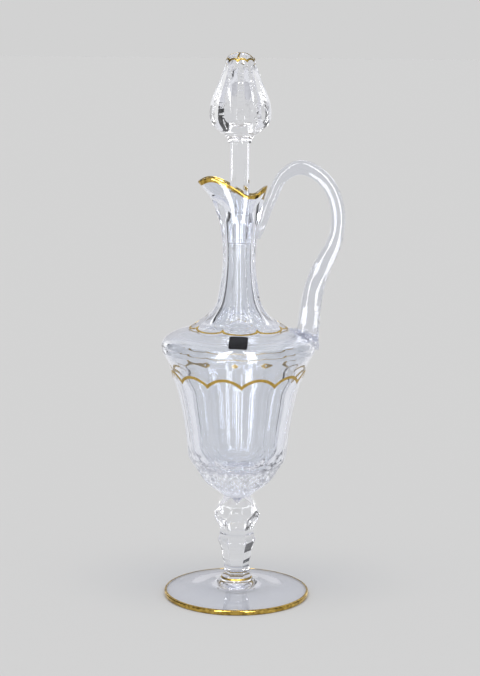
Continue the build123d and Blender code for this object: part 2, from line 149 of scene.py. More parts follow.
# Gilding and label
film_sunk = 0.06
film_proud = 0.1
join_distance = 0.002
lip_gilding_height = 2.8
shoulder_line_width = 2.2
neck_line_width = 1.5
collar_line_height = 1.3
rim_gilding_width = 1.2
ring_gilding_width = 0.6
crown_dot_radius = 2.3
crown_line_width = 1.5
label_side = 13.4
label_length = 16.8
label_corner_radius = 1.6
label_tilt = -3.0
label_radius = 45.0

# Camera and studio
camera_place = (1.16, -1298, 413.3)
camera_pitch = 9.6
camera_roll = 0.5
camera_lens = 95.86
floor_reach = 30000
floor_drop = 0.04
overhead_strength = 0.89
overhead_spread = 26
overhead_lean = 12
overhead_tilt = 10
softbox_distance = 1200
strip_distance = 1400
flag_distance = 1100
pale = "#D2D2D2"

# Levels
baluster_top = collar_height + baluster_length
knop_top = baluster_top + knop_length
calyx_top = knop_top + calyx_height
flute_cusp = calyx_top + flute_height
flute_crest = flute_cusp + flute_arch_height
shoulder_level = flute_crest + shoulder_flare_height
neck_foot = shoulder_level + shoulder_dome_height
neck_waist = neck_foot + neck_flare_height
neck_top = neck_waist + neck_upper_height
lip_top = neck_top + lip_height
floor_level = knop_top + floor_height
seat_top = neck_top - seat_depth
seat_bottom = seat_top - seat_length
shank_top = seat_top + shank_top_height
finial_top = shank_top + finial_length
mouth_low = neck_waist + 0.68 * neck_upper_height
lobes_low = neck_foot - 1.5
flats_top = neck_top + 5.0
neck_corner = neck_waist_radius / cos(pi / neck_sides)
mouth_low_radius = neck_corner + 2.3

# Turning points of the outlines, as radius and height
stem_end = (knop_top_radius, knop_top)
calyx_end = (calyx_radius, calyx_top)
flute_end = (flute_top_radius, flute_cusp)
flute_tip = (flute_top_radius, flute_crest)
shoulder_edge = (shoulder_radius, shoulder_level)
neck_start = (neck_foot_radius, neck_foot)
blank_waist = (neck_corner, neck_waist)
cut_waist = (neck_waist_radius, neck_waist)
neck_end = (neck_top_radius, neck_top)

millimetre = 0.001


def between(low, high, share):
    """Value at a share of the way from low to high."""
    return low + (high - low) * share


def stretch(start, end, *places):
    """Points between two others, each at its own share of the radius and of the height."""
    return [(between(start[0], end[0], out), between(start[1], end[1], up)) for out, up in places]


def curve_through(points, count=600):
    """Dense points along the smooth curve that passes through a few."""
    points = np.array(points, float)
    if len(points) == 2:
        return between(points[0], points[1], np.linspace(0, 1, count)[:, None])
    steps = np.linalg.norm(np.diff(points, axis=0), axis=1)
    knots = np.append(0, np.cumsum(steps))
    slopes = np.diff(points, axis=0) / steps[:, None]
    last = len(points) - 1
    system = np.zeros((last + 1, last + 1))
    pull = np.zeros_like(points)
    for i in range(1, last):
        system[i, i - 1 : i + 2] = steps[i - 1], 2 * (steps[i - 1] + steps[i]), steps[i]
        pull[i] = 6 * (slopes[i] - slopes[i - 1])
    start = slopes[0] - (slopes[1] - slopes[0]) * steps[0] / (steps[0] + steps[1])
    end = slopes[-1] + (slopes[-1] - slopes[-2]) * steps[-1] / (steps[-1] + steps[-2])
    system[0, :2] = 2 * steps[0], steps[0]
    pull[0] = 6 * (slopes[0] - start)
    system[last, -2:] = steps[-1], 2 * steps[-1]
    pull[last] = 6 * (end - slopes[-1])
    bends = np.linalg.solve(system, pull)
    places = np.linspace(0, knots[-1], count)
    spans = np.clip(np.searchsorted(knots, places, side="right") - 1, 0, last - 1)
    step = steps[spans][:, None]
    after = (places - knots[spans])[:, None]
    before = step - after
    low, high = bends[spans], bends[spans + 1]
    return (
        (low * before**3 + high * after**3) / (6 * step)
        + (points[spans] / step - low * step / 6) * before
        + (points[spans + 1] / step - high * step / 6) * after
    )


class Outline:
    """Smooth outline of radius against height, read at any height or evenly along its length."""

    def __init__(self, points):
        self.radii, self.heights = curve_through(points).T
        steps = np.hypot(np.diff(self.radii), np.diff(self.heights))
        self.lengths = np.append(0, np.cumsum(steps))

    def radius(self, height):
        return np.interp(height, self.heights, self.radii)

    def length(self, height):
        return np.interp(height, self.heights, self.lengths)

    def spread(self, low, high, shares):
        """Heights from low to high, one row for each share of the way along the outline."""
        lengths = between(self.length(low), self.length(high), shares)
        return np.interp(lengths, self.lengths, self.heights)


def columns(step, *special):
    """Bearings round the axis, evenly spaced, with special ones in place of those beside them."""
    even = np.arange(0, 360, step)
    if not special:
        return even
    wanted = np.concatenate([np.asarray(group, float) % 360 for group in special])
    apart = np.abs((even[:, None] - wanted + 180) % 360 - 180).min(axis=1)
    return np.unique(np.round(np.concatenate([even[apart > step * 0.45], wanted]), 6))


def corners(count, bearing):
    """Bearings of the edges between panels, when one panel faces the bearing."""
    return bearing + 360 / count * (np.arange(count) + 0.5)


def across(bearings, count, bearing):
    """Share by which a flat panel is nearer the axis at its middle than at each bearing."""
    step = 360 / count
    off = (bearings - bearing + step / 2) % step - step / 2
    return np.cos(np.radians(off))


def placed(radii, bearings, heights):
    """Points in rows and columns."""
    turn = np.radians(bearings)
    heights = heights + np.zeros_like(radii)
    return np.stack([radii * np.sin(turn), -radii * np.cos(turn), heights], axis=-1)


def shares(count):
    """Even shares from 0 to 1, as a column."""
    return np.linspace(0, 1, count)[:, None]


def crossing(gap, low, high):
    """Height at which a gap turns from negative to positive, for each column."""
    heights = np.linspace(low, high, 900)[:, None]
    gaps = gap(heights)
    after = np.clip(np.argmax(gaps > 0, axis=0), 1, len(heights) - 1)
    column = np.arange(gaps.shape[1])
    first, second = gaps[after - 1, column], gaps[after, column]
    share = np.clip(-first / (second - first + 1e-12), 0, 1)
    return between(heights[after - 1, 0], heights[after, 0], share)


def fresh_object(name, points, faces, materials, kinds=None):
    """Mesh object at the origin, from points in millimetres."""
    mesh = bpy.data.meshes.new(name)
    mesh.from_pydata((np.asarray(points) * millimetre).tolist(), [], faces)
    for material in materials:
        mesh.materials.append(material)
    if kinds is not None:
        mesh.polygons.foreach_set("material_index", np.asarray(kinds, np.int32))
    mesh.polygons.foreach_set("use_smooth", np.ones(len(mesh.polygons), bool))
    mesh.update()
    thing = bpy.data.objects.new(name, mesh)
    bpy.context.scene.collection.objects.link(thing)
    return thing


def shell(name, rows, materials, crease=18.0, kinds=None, looped=False):
    """Closed mesh through rows of points round the axis. The first and last rows close at a point in
    their middle, or on each other when looped. kinds gives the material of each row of faces."""
    rows = [np.asarray(row) for row in rows]
    count = len(rows[0])
    points = np.concatenate(rows)
    faces = []
    face_kinds = []
    pairs = [(i, i + 1) for i in range(len(rows) - 1)]
    if looped:
        pairs.append((len(rows) - 1, 0))
    for band, (low, high) in enumerate(pairs):
        for j in range(count):
            k = (j + 1) % count
            faces.append((low * count + j, low * count + k, high * count + k, high * count + j))
        face_kinds += [kinds[band + 1] if kinds else 0] * count
    if not looped:
        ends = [rows[0].mean(axis=0), rows[-1].mean(axis=0)]
        bottom, top = len(points), len(points) + 1
        points = np.concatenate([points, ends])
        last = (len(rows) - 1) * count
        for j in range(count):
            k = (j + 1) % count
            faces.append((bottom, k, j))
            faces.append((top, last + j, last + k))
        face_kinds += [kinds[0], kinds[-1]] * count if kinds else [0, 0] * count
    thing = fresh_object(name, points, faces, materials, face_kinds)
    thing.data.set_sharp_from_angle(angle=radians(crease))
    return thing


def outward(grid):
    """Unit normals of a grid of points that runs upwards in rows and round in columns."""
    along = np.gradient(grid, axis=0)
    around = np.roll(grid, -1, axis=1) - np.roll(grid, 1, axis=1)
    normals = np.cross(around, along)
    return normals / np.linalg.norm(normals, axis=-1, keepdims=True)


def film(name, grid, material):
    """Closed film that lies on a grid of points, sunk a little into what carries it."""
    normals = outward(grid)
    outside = grid + normals * film_proud
    inside = grid - normals * film_sunk
    return shell(name, [*outside, *inside[::-1]], [material], crease=40, looped=True)


# Materials

def to_linear(code):
    """Linear colour, with alpha, of an sRGB hex code."""
    parts = [int(code[i : i + 2], 16) / 255 for i in (1, 3, 5)]
    return [part / 12.92 if part < 0.04045 else ((part + 0.055) / 1.055) ** 2.4 for part in parts] + [1]


def add(tree, kind, inputs=None, **settings):
    """Node with its settings, and with its inputs linked or set."""
    node = tree.nodes.new(kind)
    for name, value in settings.items():
        setattr(node, name, value)
    for name, value in (inputs or {}).items():
        if isinstance(value, bpy.types.NodeSocket):
            tree.links.new(value, node.inputs[name])
        else:
            node.inputs[name].default_value = value
    return node


def reckon(tree, operation, *values):
    """Result of one calculation on numbers."""
    return add(tree, "ShaderNodeMath", dict(enumerate(values)), operation=operation).outputs[0]


def mixed(tree, share, first, second):
    """Two shaders mixed by a share, which is 0 for the first alone and 1 for the second."""
    both = add(tree, "ShaderNodeMixShader", {0: share, 1: first.outputs[0], 2: second.outputs[0]})
    return both.outputs[0]


def mottled(tree, dark, light, scale, detail, low=0.0, high=1.0):
    """Noise that runs through a material, and the colour that follows it from dark to light."""
    place = add(tree, "ShaderNodeTexCoord").outputs["Object"]
    noise = add(tree, "ShaderNodeTexNoise", {"Vector": place, "Scale": scale, "Detail": detail})
    tint = add(tree, "ShaderNodeValToRGB", {"Fac": noise.outputs["Fac"]})
    for stop, position, code in zip(tint.color_ramp.elements, (low, high), (dark, light)):
        stop.position = position
        stop.color = to_linear(code)
    return noise.outputs["Fac"], tint.outputs["Color"]


def rippled(tree, height, strength, depth_mm):
    """Normal of a surface that rises and falls with a height from 0 to 1."""
    relief = add(tree, "ShaderNodeBump", {
        "Strength": strength,
        "Distance": depth_mm * millimetre,
        "Height": height,
    })
    return relief.outputs["Normal"]


def fresh_material(name):
    """Material without nodes, and the tree that they go into."""
    material = bpy.data.materials.new(name)
    material.use_nodes = True
    material.node_tree.nodes.clear()
    return material, material.node_tree


def lead_crystal(name, thick, thin):
    """Clear glass. Light on its way to the floor passes straight through, which leaves a pale
    shadow, and light that was thrown to and fro inside the glass is let out."""
    material, tree = fresh_material(name)
    sway, tint = mottled(tree, thick, thin, 60.0, 1.0)
    glass = add(tree, "ShaderNodeBsdfPrincipled", {
        "Base Color": tint,
        "Roughness": 0.0,
        "IOR": 1.545,
        "Transmission Weight": 1.0,
        "Normal": rippled(tree, sway, 0.15, 0.2),
    })
    passing = add(tree, "ShaderNodeBsdfTransparent", {"Color": to_linear("#F5F6F9")})
    path = add(tree, "ShaderNodeLightPath").outputs
    to_floor = reckon(tree, "MAXIMUM", path["Is Shadow Ray"], path["Is Diffuse Ray"])
    trapped = reckon(tree, "GREATER_THAN", path["Glossy Depth"], 2.5)
    let_out = reckon(tree, "MAXIMUM", to_floor, trapped)
    add(tree, "ShaderNodeOutputMaterial", {"Surface": mixed(tree, let_out, glass, passing)})
    return material


def cut_lead_crystal():
    """Lead crystal, shaped hot in the solid, then wheel-cut and acid-polished. It gives the eye
    clear white glass with bright edges and slightly wavy reflections where the wheel has been."""
    return lead_crystal("cut_lead_crystal", "#F8FAFF", "#FEFEFF")


def blown_lead_crystal():
    """Lead crystal, blown by mouth, then wheel-cut and acid-polished. It gives the eye clear walls
    with a faint lavender cast, seen twice over."""
    return lead_crystal("blown_lead_crystal", "#F0F3FA", "#F7F9FD")


def drawn_lead_crystal():
    """Lead crystal, drawn out by hand into a strap and left solid. It gives the eye a deeper
    lavender than the blown walls, because all of it is glass."""
    return lead_crystal("drawn_lead_crystal", "#ECEEF7", "#F4F6FB")


def fused_joint():
    """Place where two pieces of glass were stuck together hot, which leaves nothing to see."""
    material, tree = fresh_material("fused_joint")
    haze = mottled(tree, "#FBFBFD", "#FFFFFF", 90.0, 2.0)[1]
    clear = add(tree, "ShaderNodeBsdfTransparent", {"Color": haze})
    add(tree, "ShaderNodeOutputMaterial", {"Surface": clear.outputs[0]})
    return material


def fired_gold(name, light, dark, roughness, grain_mm):
    """Liquid bright gold, painted on with a brush and fired. It gives the eye a thin metal skin
    whose shine is broken by brush marks and by the pull of the glass under it."""
    material, tree = fresh_material(name)
    brush, tint = mottled(tree, dark, light, 1 / (grain_mm * millimetre), 3.0, 0.3, 0.7)
    gloss = add(tree, "ShaderNodeMapRange", {
        "Value": brush,
        "From Min": 0.3,
        "From Max": 0.7,
        "To Min": roughness * 1.4,
        "To Max": roughness * 0.7,
    })
    metal = add(tree, "ShaderNodeBsdfPrincipled", {
        "Base Color": tint,
        "Metallic": 1.0,
        "Roughness": gloss.outputs["Result"],
        "Normal": rippled(tree, brush, 0.3, 0.1),
    })
    add(tree, "ShaderNodeOutputMaterial", {"Surface": metal.outputs[0]})
    return material


def rolled_gold():
    """Bright gold run thickly round a rounded edge. It gives the eye a mirror-like golden bead."""
    return fired_gold("fired_bright_gold_rim", "#D8B75E", "#7E6224", 0.09, 3.0)


def painted_gold():
    """Bright gold drawn with a fine brush. It gives the eye a satin line with visible strokes."""
    return fired_gold("fired_painted_gold_line", "#CBAC5A", "#94793A", 0.36, 1.2)


def darker_gold():
    """Bright gold on the stopper's crown, darker, browner and rougher than the painted lines. It gives
    the eye a duller, browner line.
    """
    return fired_gold("fired_darker_gold_line", "#A68E48", "#6A5626", 0.4, 0.8)


def black_label_film():
    """Printed polypropylene label film, left bare. It gives the eye a satin black with the slight
    unevenness of the glue under it."""
    material, tree = fresh_material("black_label_film")
    glue, tint = mottled(tree, "#0A0A0C", "#141418", 500.0, 2.0)
    plastic = add(tree, "ShaderNodeBsdfPrincipled", {
        "Base Color": tint,
        "Roughness": 0.5,
        "IOR": 1.5,
        "Specular IOR Level": 0.2,
        "Normal": rippled(tree, glue, 0.2, 0.05),
    })
    add(tree, "ShaderNodeOutputMaterial", {"Surface": plastic.outputs[0]})
    return material


# Outlines

def vessel_outline():
    """Blown vessel before it is cut, from the stem to the middle of the neck."""
    return Outline([
        (knop_top_radius + 0.4, knop_top),
        *stretch(stem_end, calyx_end, (0.37, 0.245), (0.6, 0.44), (0.84, 0.77)),
        (calyx_radius + 0.4, calyx_top),
        *stretch(calyx_end, flute_end, (0.48, 0.43), (0.77, 0.77)),
        flute_end,
        *stretch(flute_tip, shoulder_edge, (0.18, 0.0), (0.47, 0.42), (0.8, 0.72)),
        shoulder_edge,
        *stretch(shoulder_edge, neck_start, (0.05, 0.29), (0.23, 0.54), (0.55, 0.76)),
        neck_start,
        *stretch(neck_start, blank_waist, (0.17, 0.067), (0.33, 0.2), (0.65, 0.5)),
        (neck_corner + 2.2, between(neck_foot, neck_waist, 0.8)),
        (neck_corner + 1.5, between(neck_waist, mouth_low, 0.3)),
        (mouth_low_radius, mouth_low),
    ])


def flute_flat(depth):
    """Points up the middle of a flute, at a depth in the glass."""
    flat = cos(pi / flute_count)
    places = stretch(calyx_end, flute_end, (0.14, 0.35), (0.4, 0.62), (0.68, 0.84))
    return [(radius * flat - depth, height) for radius, height in places]


def flute_panel():
    """Middle of a flute, which runs out of the glass in an arch at its top."""
    return Outline([
        (calyx_radius * 0.925, calyx_top - 6),
        (calyx_radius * 0.96, between(calyx_top, flute_cusp, 0.1)),
        *flute_flat(0.0),
        (flute_top_radius * cos(pi / flute_count), flute_cusp),
        *stretch(flute_tip, shoulder_edge, (0.18, 0.0)),
        (shoulder_radius, flute_crest + 2 * flute_arch_height),
    ])


def calyx_panel():
    """Middle of a calyx flat, which meets the flutes in a zigzag."""
    return Outline([
        (knop_top_radius * 0.98, knop_top),
        *stretch(stem_end, calyx_end, (0.12, 0.11), (0.32, 0.245), (0.53, 0.44), (0.75, 0.77)),
        (calyx_radius * 0.94, calyx_top),
        (calyx_radius * 1.12, calyx_top + 6),
    ])


def neck_panel():
    """Middle of a neck flat, from its lobe on the shoulder to the mouth."""
    return Outline([
        (between(neck_foot_radius, shoulder_radius, 0.3), lobes_low),
        neck_start,
        (neck_foot_radius * 0.882, neck_foot + 1.5),
        (neck_foot_radius * 0.827, neck_foot + 3.0),
        *stretch(neck_start, cut_waist, (0.4, 0.11), (0.58, 0.2), (0.78, 0.34)),
        *stretch(neck_start, cut_waist, (0.89, 0.55), (0.96, 0.77)),
        cut_waist,
        *stretch(cut_waist, neck_end, (0.1, 0.38), (0.4, 0.72), (1.0, 0.96)),
        (neck_top_radius * 1.6, flats_top),
    ])


def hollow_outline():
    """Room inside the bowl and the neck, up to the ground seat."""
    floor_edge = (floor_radius, floor_level)
    flare = stretch(flute_tip, shoulder_edge, (0.47, 0.42))[0]
    dome = stretch(shoulder_edge, neck_start, (0.25, 0.54), (0.55, 0.76))
    seat_end = (seat_bottom_radius, neck_waist)
    return Outline([
        floor_edge,
        *stretch(floor_edge, calyx_end, (0.5, 0.42)),
        (calyx_radius * 0.94 - bowl_wall, between(calyx_top, flute_cusp, 0.12)),
        *flute_flat(bowl_wall),
        (flute_top_radius * cos(pi / flute_count) - bowl_wall * 0.9, flute_cusp),
        (flare[0] - shoulder_wall, flare[1]),
        (shoulder_radius - shoulder_wall - 0.8, between(flute_crest, shoulder_level, 0.8)),
        (shoulder_radius - shoulder_wall, shoulder_level),
        *[(radius, height - shoulder_wall) for radius, height in dome],
        (neck_foot_radius, neck_foot - shoulder_wall),
        (between(seat_bottom_radius, neck_foot_radius, 0.55), neck_foot + 1.0),
        *stretch(neck_start, seat_end, (0.75, 0.22), (0.92, 0.52)),
        (seat_bottom_radius + 0.2, neck_waist),
        (seat_bottom_radius, seat_bottom),
    ])


def finial_shoulder():
    """Points from the belly of the finial, where it narrows, up to its crown."""
    belly = (finial_radius, shank_top)
    crown = (finial_crown_radius, finial_top)
    return stretch(belly, crown, (0.19, 0.51), (0.51, 0.642), (0.78, 0.753))


def finial_outline():
    """Finial before its panels are cut, from the shank to the very top."""
    crown_level = shank_top + finial_crown_height
    return Outline([
        (finial_neck_radius, shank_top),
        (between(finial_neck_radius, finial_radius, 0.06), shank_top + 3.4),
        (between(finial_neck_radius, finial_radius, 0.33), shank_top + 7.0),
        (between(finial_neck_radius, finial_radius, 0.72), shank_top + 11.3),
        (finial_radius * 0.985, shank_top + finial_belly_height * 0.8),
        (finial_radius, shank_top + finial_belly_height),
        *finial_shoulder(),
        (between(finial_radius, finial_crown_radius, 0.91), shank_top + finial_length * 0.82),
        (finial_crown_radius, crown_level),
        (finial_crown_radius * 0.87, between(crown_level, finial_top, 0.52)),
        (finial_crown_radius * 0.56, between(crown_level, finial_top, 0.85)),
        (0.4, finial_top),
    ])


def finial_panel():
    """Middle of one of the finial's shield-shaped panels."""
    flat = finial_panel_share
    cuts = zip(finial_shoulder(), (flat, flat, 0.89))
    return Outline([
        (finial_radius * 1.3, shank_top + 3.0),
        (finial_radius * 0.93, shank_top + 8.5),
        (finial_radius * flat, shank_top + finial_belly_height * 0.75),
        (finial_radius * flat, shank_top + finial_belly_height),
        *[(radius * cut, height) for (radius, height), cut in cuts],
        (finial_crown_radius * 0.95, shank_top + finial_length * 0.84),
        (finial_crown_radius * 1.02, shank_top + finial_crown_height),
        (finial_crown_radius * 1.3, finial_top),
    ])


class Flare:
    """Flare of the mouth: half an ellipse towards the spout and half towards the handle."""

    def __init__(self, low, low_radius, inset, stations):
        rises, spouts, backs, widths = np.array(stations).T
        heights = between(low, lip_top, rises)
        self.spout = Outline(list(zip(between(low_radius, spout_reach - inset, spouts), heights)))
        self.back = Outline(list(zip(between(low_radius, lip_back_reach - inset, backs), heights)))
        self.width = Outline(list(zip(between(low_radius, lip_half_width - inset, widths), heights)))

    def points(self, bearings, heights):
        turn = np.radians(bearings)
        heights = heights + np.zeros_like(turn)
        reach = np.where(np.sin(turn) > 0, self.back.radius(heights), self.spout.radius(heights))
        sideways = -self.width.radius(heights) * np.cos(turn)
        return np.stack([reach * np.sin(turn), sideways, heights], axis=-1)


def zigzag(place):
    """Height from 0 to 1 and back over each unit of place."""
    return 1 - 2 * np.abs(place % 1 - 0.5)


def notches(along):
    """Depth of the small wheel cuts along a ridge, at a distance along it. No two are quite alike."""
    uneven = 0.6 + 0.4 * np.sin(2.3 * np.floor(along / notch_pitch))
    return notch_depth * uneven * zigzag(along / notch_pitch)


def near_ridges(bearings, count, bearing, half_width):
    """Share from 0 to 1 by which each bearing is on the ridge between two panels."""
    away = 180 / count - np.degrees(np.arccos(across(bearings, count, bearing)))
    return np.clip(2 - away / half_width, 0, 1)


def rim_height(x):
    """Height of the wavy rim, which dips at the sides and rises to the spout."""
    wave = curve_through([
        (-spout_reach * 1.15, spout_tip_height - 2.5),
        (-spout_reach * 0.91, spout_tip_height),
        (-spout_reach * 0.71, spout_crest_height),
        (-spout_reach * 0.38, between(lip_dip_height, spout_crest_height, 0.83)),
        (0.0, between(lip_dip_height, spout_crest_height, 0.29)),
        (lip_back_reach * 0.42, lip_dip_height),
        (lip_back_reach * 0.66, between(lip_dip_height, lip_back_height, 0.33)),
        (lip_back_reach * 0.86, lip_back_height),
        (lip_back_reach * 1.25, lip_back_height + 0.5),
    ])
    return neck_top + np.interp(x, wave[:, 0], wave[:, 1])


def seat_radius(height):
    """Radius of the ground taper, which plug and seat share but for the clearance."""
    return between(seat_bottom_radius, seat_top_radius, (height - seat_bottom) / seat_length)


def arch_heights(bearings):
    """Heights at which the flutes run out of the glass."""
    blank = vessel_outline()
    flute = flute_panel()
    near = across(bearings, flute_count, flute_bearing)
    return crossing(
        lambda h: flute.radius(h) / near - blank.radius(h), flute_cusp - 10, flute_crest + 6
    )


def lobe_heights(bearings):
    """Heights at which the neck's flats run out of the shoulder."""
    blank = vessel_outline()
    panel = neck_panel()
    near = across(bearings, neck_sides, neck_bearing)
    return crossing(lambda h: blank.radius(h) - panel.radius(h) / near, lobes_low, neck_foot + 8)


# Glass

class VesselShape:
    """Points of the bowl, shoulder, neck and mouth, kept so that the gilding can lie on them."""

    def __init__(self):
        flute_edges = corners(flute_count, flute_bearing)
        calyx_edges = corners(flute_count, flute_bearing + 180 / flute_count)
        neck_edges = corners(neck_sides, neck_bearing)
        beside = [neck_edges + offset for offset in (-3.0, -1.5, 0, 1.5, 3.0)]
        self.bearings = columns(1.8, flute_edges, calyx_edges, *beside)
        self.blank = vessel_outline()
        self.flute = flute_panel()
        self.calyx = calyx_panel()
        self.neck = neck_panel()
        self.in_flute = across(self.bearings, flute_count, flute_bearing)
        self.in_calyx = across(self.bearings, flute_count, flute_bearing + 180 / flute_count)
        self.in_neck = across(self.bearings, neck_sides, neck_bearing)
        self.outer_flare = Flare(mouth_low, mouth_low_radius, 0, [
            (0.0, 0.0, 0.0, 0.0),
            (0.21, 0.065, 0.087, 0.34),
            (0.41, 0.165, 0.26, 0.64),
            (0.62, 0.354, 0.535, 0.9),
            (0.81, 0.674, 0.81, 1.0),
            (1.0, 1.0, 1.0, 1.0),
        ])
        self.inner_flare = Flare(seat_top - 1.0, seat_top_radius - 0.4, lip_wall, [
            (0.0, 0.0, 0.0, 0.0),
            (0.26, 0.09, 0.15, 0.38),
            (0.5, 0.42, 0.51, 0.83),
            (0.75, 0.73, 0.81, 1.0),
            (1.0, 1.0, 1.0, 1.0),
        ])
        self.find_creases()

    def find_creases(self):
        """Heights where one cut meets the next, for each bearing."""
        self.calyx_edge = crossing(
            lambda h: self.calyx.radius(h) / self.in_calyx - self.flute.radius(h) / self.in_flute,
            calyx_top - 8, calyx_top + 6,
        )
        self.arches = arch_heights(self.bearings)
        self.lobes = lobe_heights(self.bearings)
        self.outer_rim = crossing(
            lambda h: h - rim_height(self.outside_mouth(h)[..., 0]), neck_top, lip_top + 2
        )
        self.inner_rim = crossing(
            lambda h: h - rim_height(self.inner_flare.points(self.bearings, h)[..., 0]),
            neck_top, lip_top + 2,
        )

    def outside_mouth(self, heights):
        """Points on the outside of the mouth, where the neck's flats run out into the flare."""
        points = self.outer_flare.points(self.bearings, heights)
        trimmed = np.ones(points.shape[:2])
        on_flats = points[..., 2] < flats_top
        flat = np.where(on_flats, self.neck.radius(points[..., 2]), np.inf)
        for side in range(neck_sides):
            turn = radians(neck_bearing + 360 / neck_sides * side)
            out = points[..., 0] * sin(turn) - points[..., 1] * cos(turn)
            trimmed = np.minimum(trimmed, flat / np.maximum(out, 1.0))
        points[..., :2] *= trimmed[..., None]
        return points

    def skin_radius(self, bearings, heights):
        """Distance of the outside of the shoulder, neck and mouth from the axis, at any places."""
        turn = np.radians(bearings)
        back = np.sin(turn) / self.outer_flare.back.radius(heights)
        side = np.cos(turn) / self.outer_flare.width.radius(heights)
        skin = np.where(heights < mouth_low, self.blank.radius(heights), 1 / np.hypot(back, side))
        flat = self.neck.radius(heights) / across(bearings, neck_sides, neck_bearing)
        on_flats = (heights > lobes_low) & (heights < flats_top)
        return np.where(on_flats, np.minimum(skin, flat), skin)

    def inside_mouth(self, heights):
        """Points on the inside of the mouth, down to the top of the seat."""
        points = self.inner_flare.points(self.bearings, heights)
        radii = np.linalg.norm(points[..., :2], axis=-1)
        wider = np.maximum(1.0, seat_radius(points[..., 2]) / radii)
        run_out = points[..., 2] < seat_top + seat_run_out
        points[..., :2] *= np.where(run_out, wider, 1.0)[..., None]
        return points

    def outside(self):
        """Outside of the glass from the stem up to where the rim begins to round over."""
        heights = between(knop_top, self.calyx_edge, shares(44))
        rise = (heights - knop_top) / diamond_height
        turn = self.bearings * diamonds_round / 360
        diamonds = diamond_depth * np.minimum(zigzag(rise + turn), zigzag(rise - turn))
        diamonds *= np.clip(np.minimum(rise, (self.calyx_edge - heights) / diamond_height) * 2, 0, 1)
        calyx = placed(self.calyx.radius(heights) / self.in_calyx - diamonds, self.bearings, heights)
        heights = self.flute.spread(self.calyx_edge, self.arches, shares(26))
        flutes = placed(self.flute.radius(heights) / self.in_flute, self.bearings, heights)
        heights = self.blank.spread(self.arches, self.lobes, shares(38))
        shoulder = placed(self.blank.radius(heights), self.bearings, heights)
        heights = self.neck.spread(self.lobes, mouth_low, shares(128))
        ridge = near_ridges(self.bearings, neck_sides, neck_bearing, 1.5)
        ends = np.clip(np.minimum(heights - neck_foot - 3, mouth_low - 4 - heights) / 4, 0, 1)
        cut = notches(heights) * ridge * ends
        neck = placed(self.neck.radius(heights) / self.in_neck - cut, self.bearings, heights)
        mouth = self.outside_mouth(between(mouth_low, self.outer_rim - rim_round, shares(28)))
        return np.concatenate([calyx, flutes[1:], shoulder[1:], neck[1:], mouth[1:]])

    def rim(self):
        """Rounded rim, from its outer side over to its inner one."""
        outer = self.outside_mouth(self.outer_rim - rim_round + np.array([[-0.3], [0.0]]))
        inner = self.inside_mouth(self.inner_rim - rim_round + np.array([[-0.3], [0.0]]))
        reach = rim_round / 0.75
        rise_out = outer[1] - outer[0]
        rise_in = inner[1] - inner[0]
        rise_out *= reach / np.linalg.norm(rise_out, axis=-1, keepdims=True)
        rise_in *= reach / np.linalg.norm(rise_in, axis=-1, keepdims=True)
        share = shares(11)[:, :, None]
        return (
            (1 - share) ** 3 * outer[1]
            + 3 * (1 - share) ** 2 * share * (outer[1] + rise_out)
            + 3 * (1 - share) * share**2 * (inner[1] + rise_in)
            + share**3 * inner[1]
        )

    def inside(self):
        """Inside of the glass, from the rim down to the middle of the bowl's floor."""
        heights = between(self.inner_rim - rim_round, seat_top + seat_run_out, shares(18))
        funnel = self.inside_mouth(heights)
        level = np.zeros_like(self.bearings)
        throat = self.inside_mouth(between(seat_top + seat_run_out, seat_top - 1, shares(9)) + level)
        heights = between(seat_top - 1, seat_bottom, shares(8)) + level
        seat = placed(seat_radius(heights), self.bearings, heights)
        room = hollow_outline()
        heights = room.spread(seat_bottom, floor_level, shares(60)) + level
        bowl = placed(room.radius(heights), self.bearings, heights)
        floor = placed(floor_radius * shares(5)[::-1][1:-1] + level, self.bearings, floor_level)
        return np.concatenate([funnel, throat[1:], seat[1:], bowl[1:], floor])


def knop_cuts(bearings):
    """Straight cuts below and above the knop's points, half a side apart."""
    flat = cos(pi / stem_sides)
    lower = Outline([(baluster_top_radius * flat, baluster_top), (knop_radius * 1.16, knop_top)])
    upper = Outline([(knop_radius * 1.28, baluster_top), (knop_top_radius * flat, knop_top)])
    return (
        lambda h: lower.radius(h) / across(bearings, stem_sides, stem_bearing),
        lambda h: upper.radius(h) / across(bearings, stem_sides, stem_bearing + 180 / stem_sides),
    )


def vessel(shape, crystal, joint):
    """Bowl, shoulder, neck and lip of one gather of glass, open at the mouth."""
    upper = knop_cuts(shape.bearings)[1]
    seam = placed(upper(knop_top) - 0.02, shape.bearings, knop_top)
    rows = [seam, *shape.outside(), *shape.rim()[1:-1], *shape.inside()]
    kinds = [1] + [0] * len(rows)
    return shell("vessel_glass", rows, [crystal, joint], kinds=kinds)


def knop(crystal, joint):
    """Cut knop, whose flats below and above leave a row of points with small facets between."""
    lower_edges = corners(stem_sides, stem_bearing)
    upper_edges = corners(stem_sides, stem_bearing + 180 / stem_sides)
    bearings = columns(2.5, lower_edges, upper_edges)
    lower, upper = knop_cuts(bearings)
    between_points = across(bearings, 2 * stem_sides, stem_bearing + 90 / stem_sides)
    heights = between(baluster_top, knop_top, shares(61)) + np.zeros_like(bearings)
    rise = (heights - baluster_top) / knop_length
    radii = np.minimum(knop_radius, np.minimum(lower(heights), upper(heights)))
    # Three rows of facets: upright ones at the points, and leaning ones below and above them
    for height, lean in ((0.5, 0.0), (0.26, 0.62), (0.74, -0.62)):
        facet = knop_radius * (0.91 + lean * (rise - height)) / between_points
        near_seam = np.minimum(rise, 1 - rise) < 0.03
        radii = np.where(near_seam, radii, np.minimum(radii, facet))
    middle = np.cos(np.radians(bearings * stem_sides / 2)) ** 2
    radii -= wheel_hollow * np.sin(2 * pi * rise) ** 2 * middle
    rows = placed(radii, bearings, heights)
    kinds = [1] + [0] * (len(rows) - 1) + [1]
    return shell("stem_knop_glass", rows, [crystal, joint], kinds=kinds)


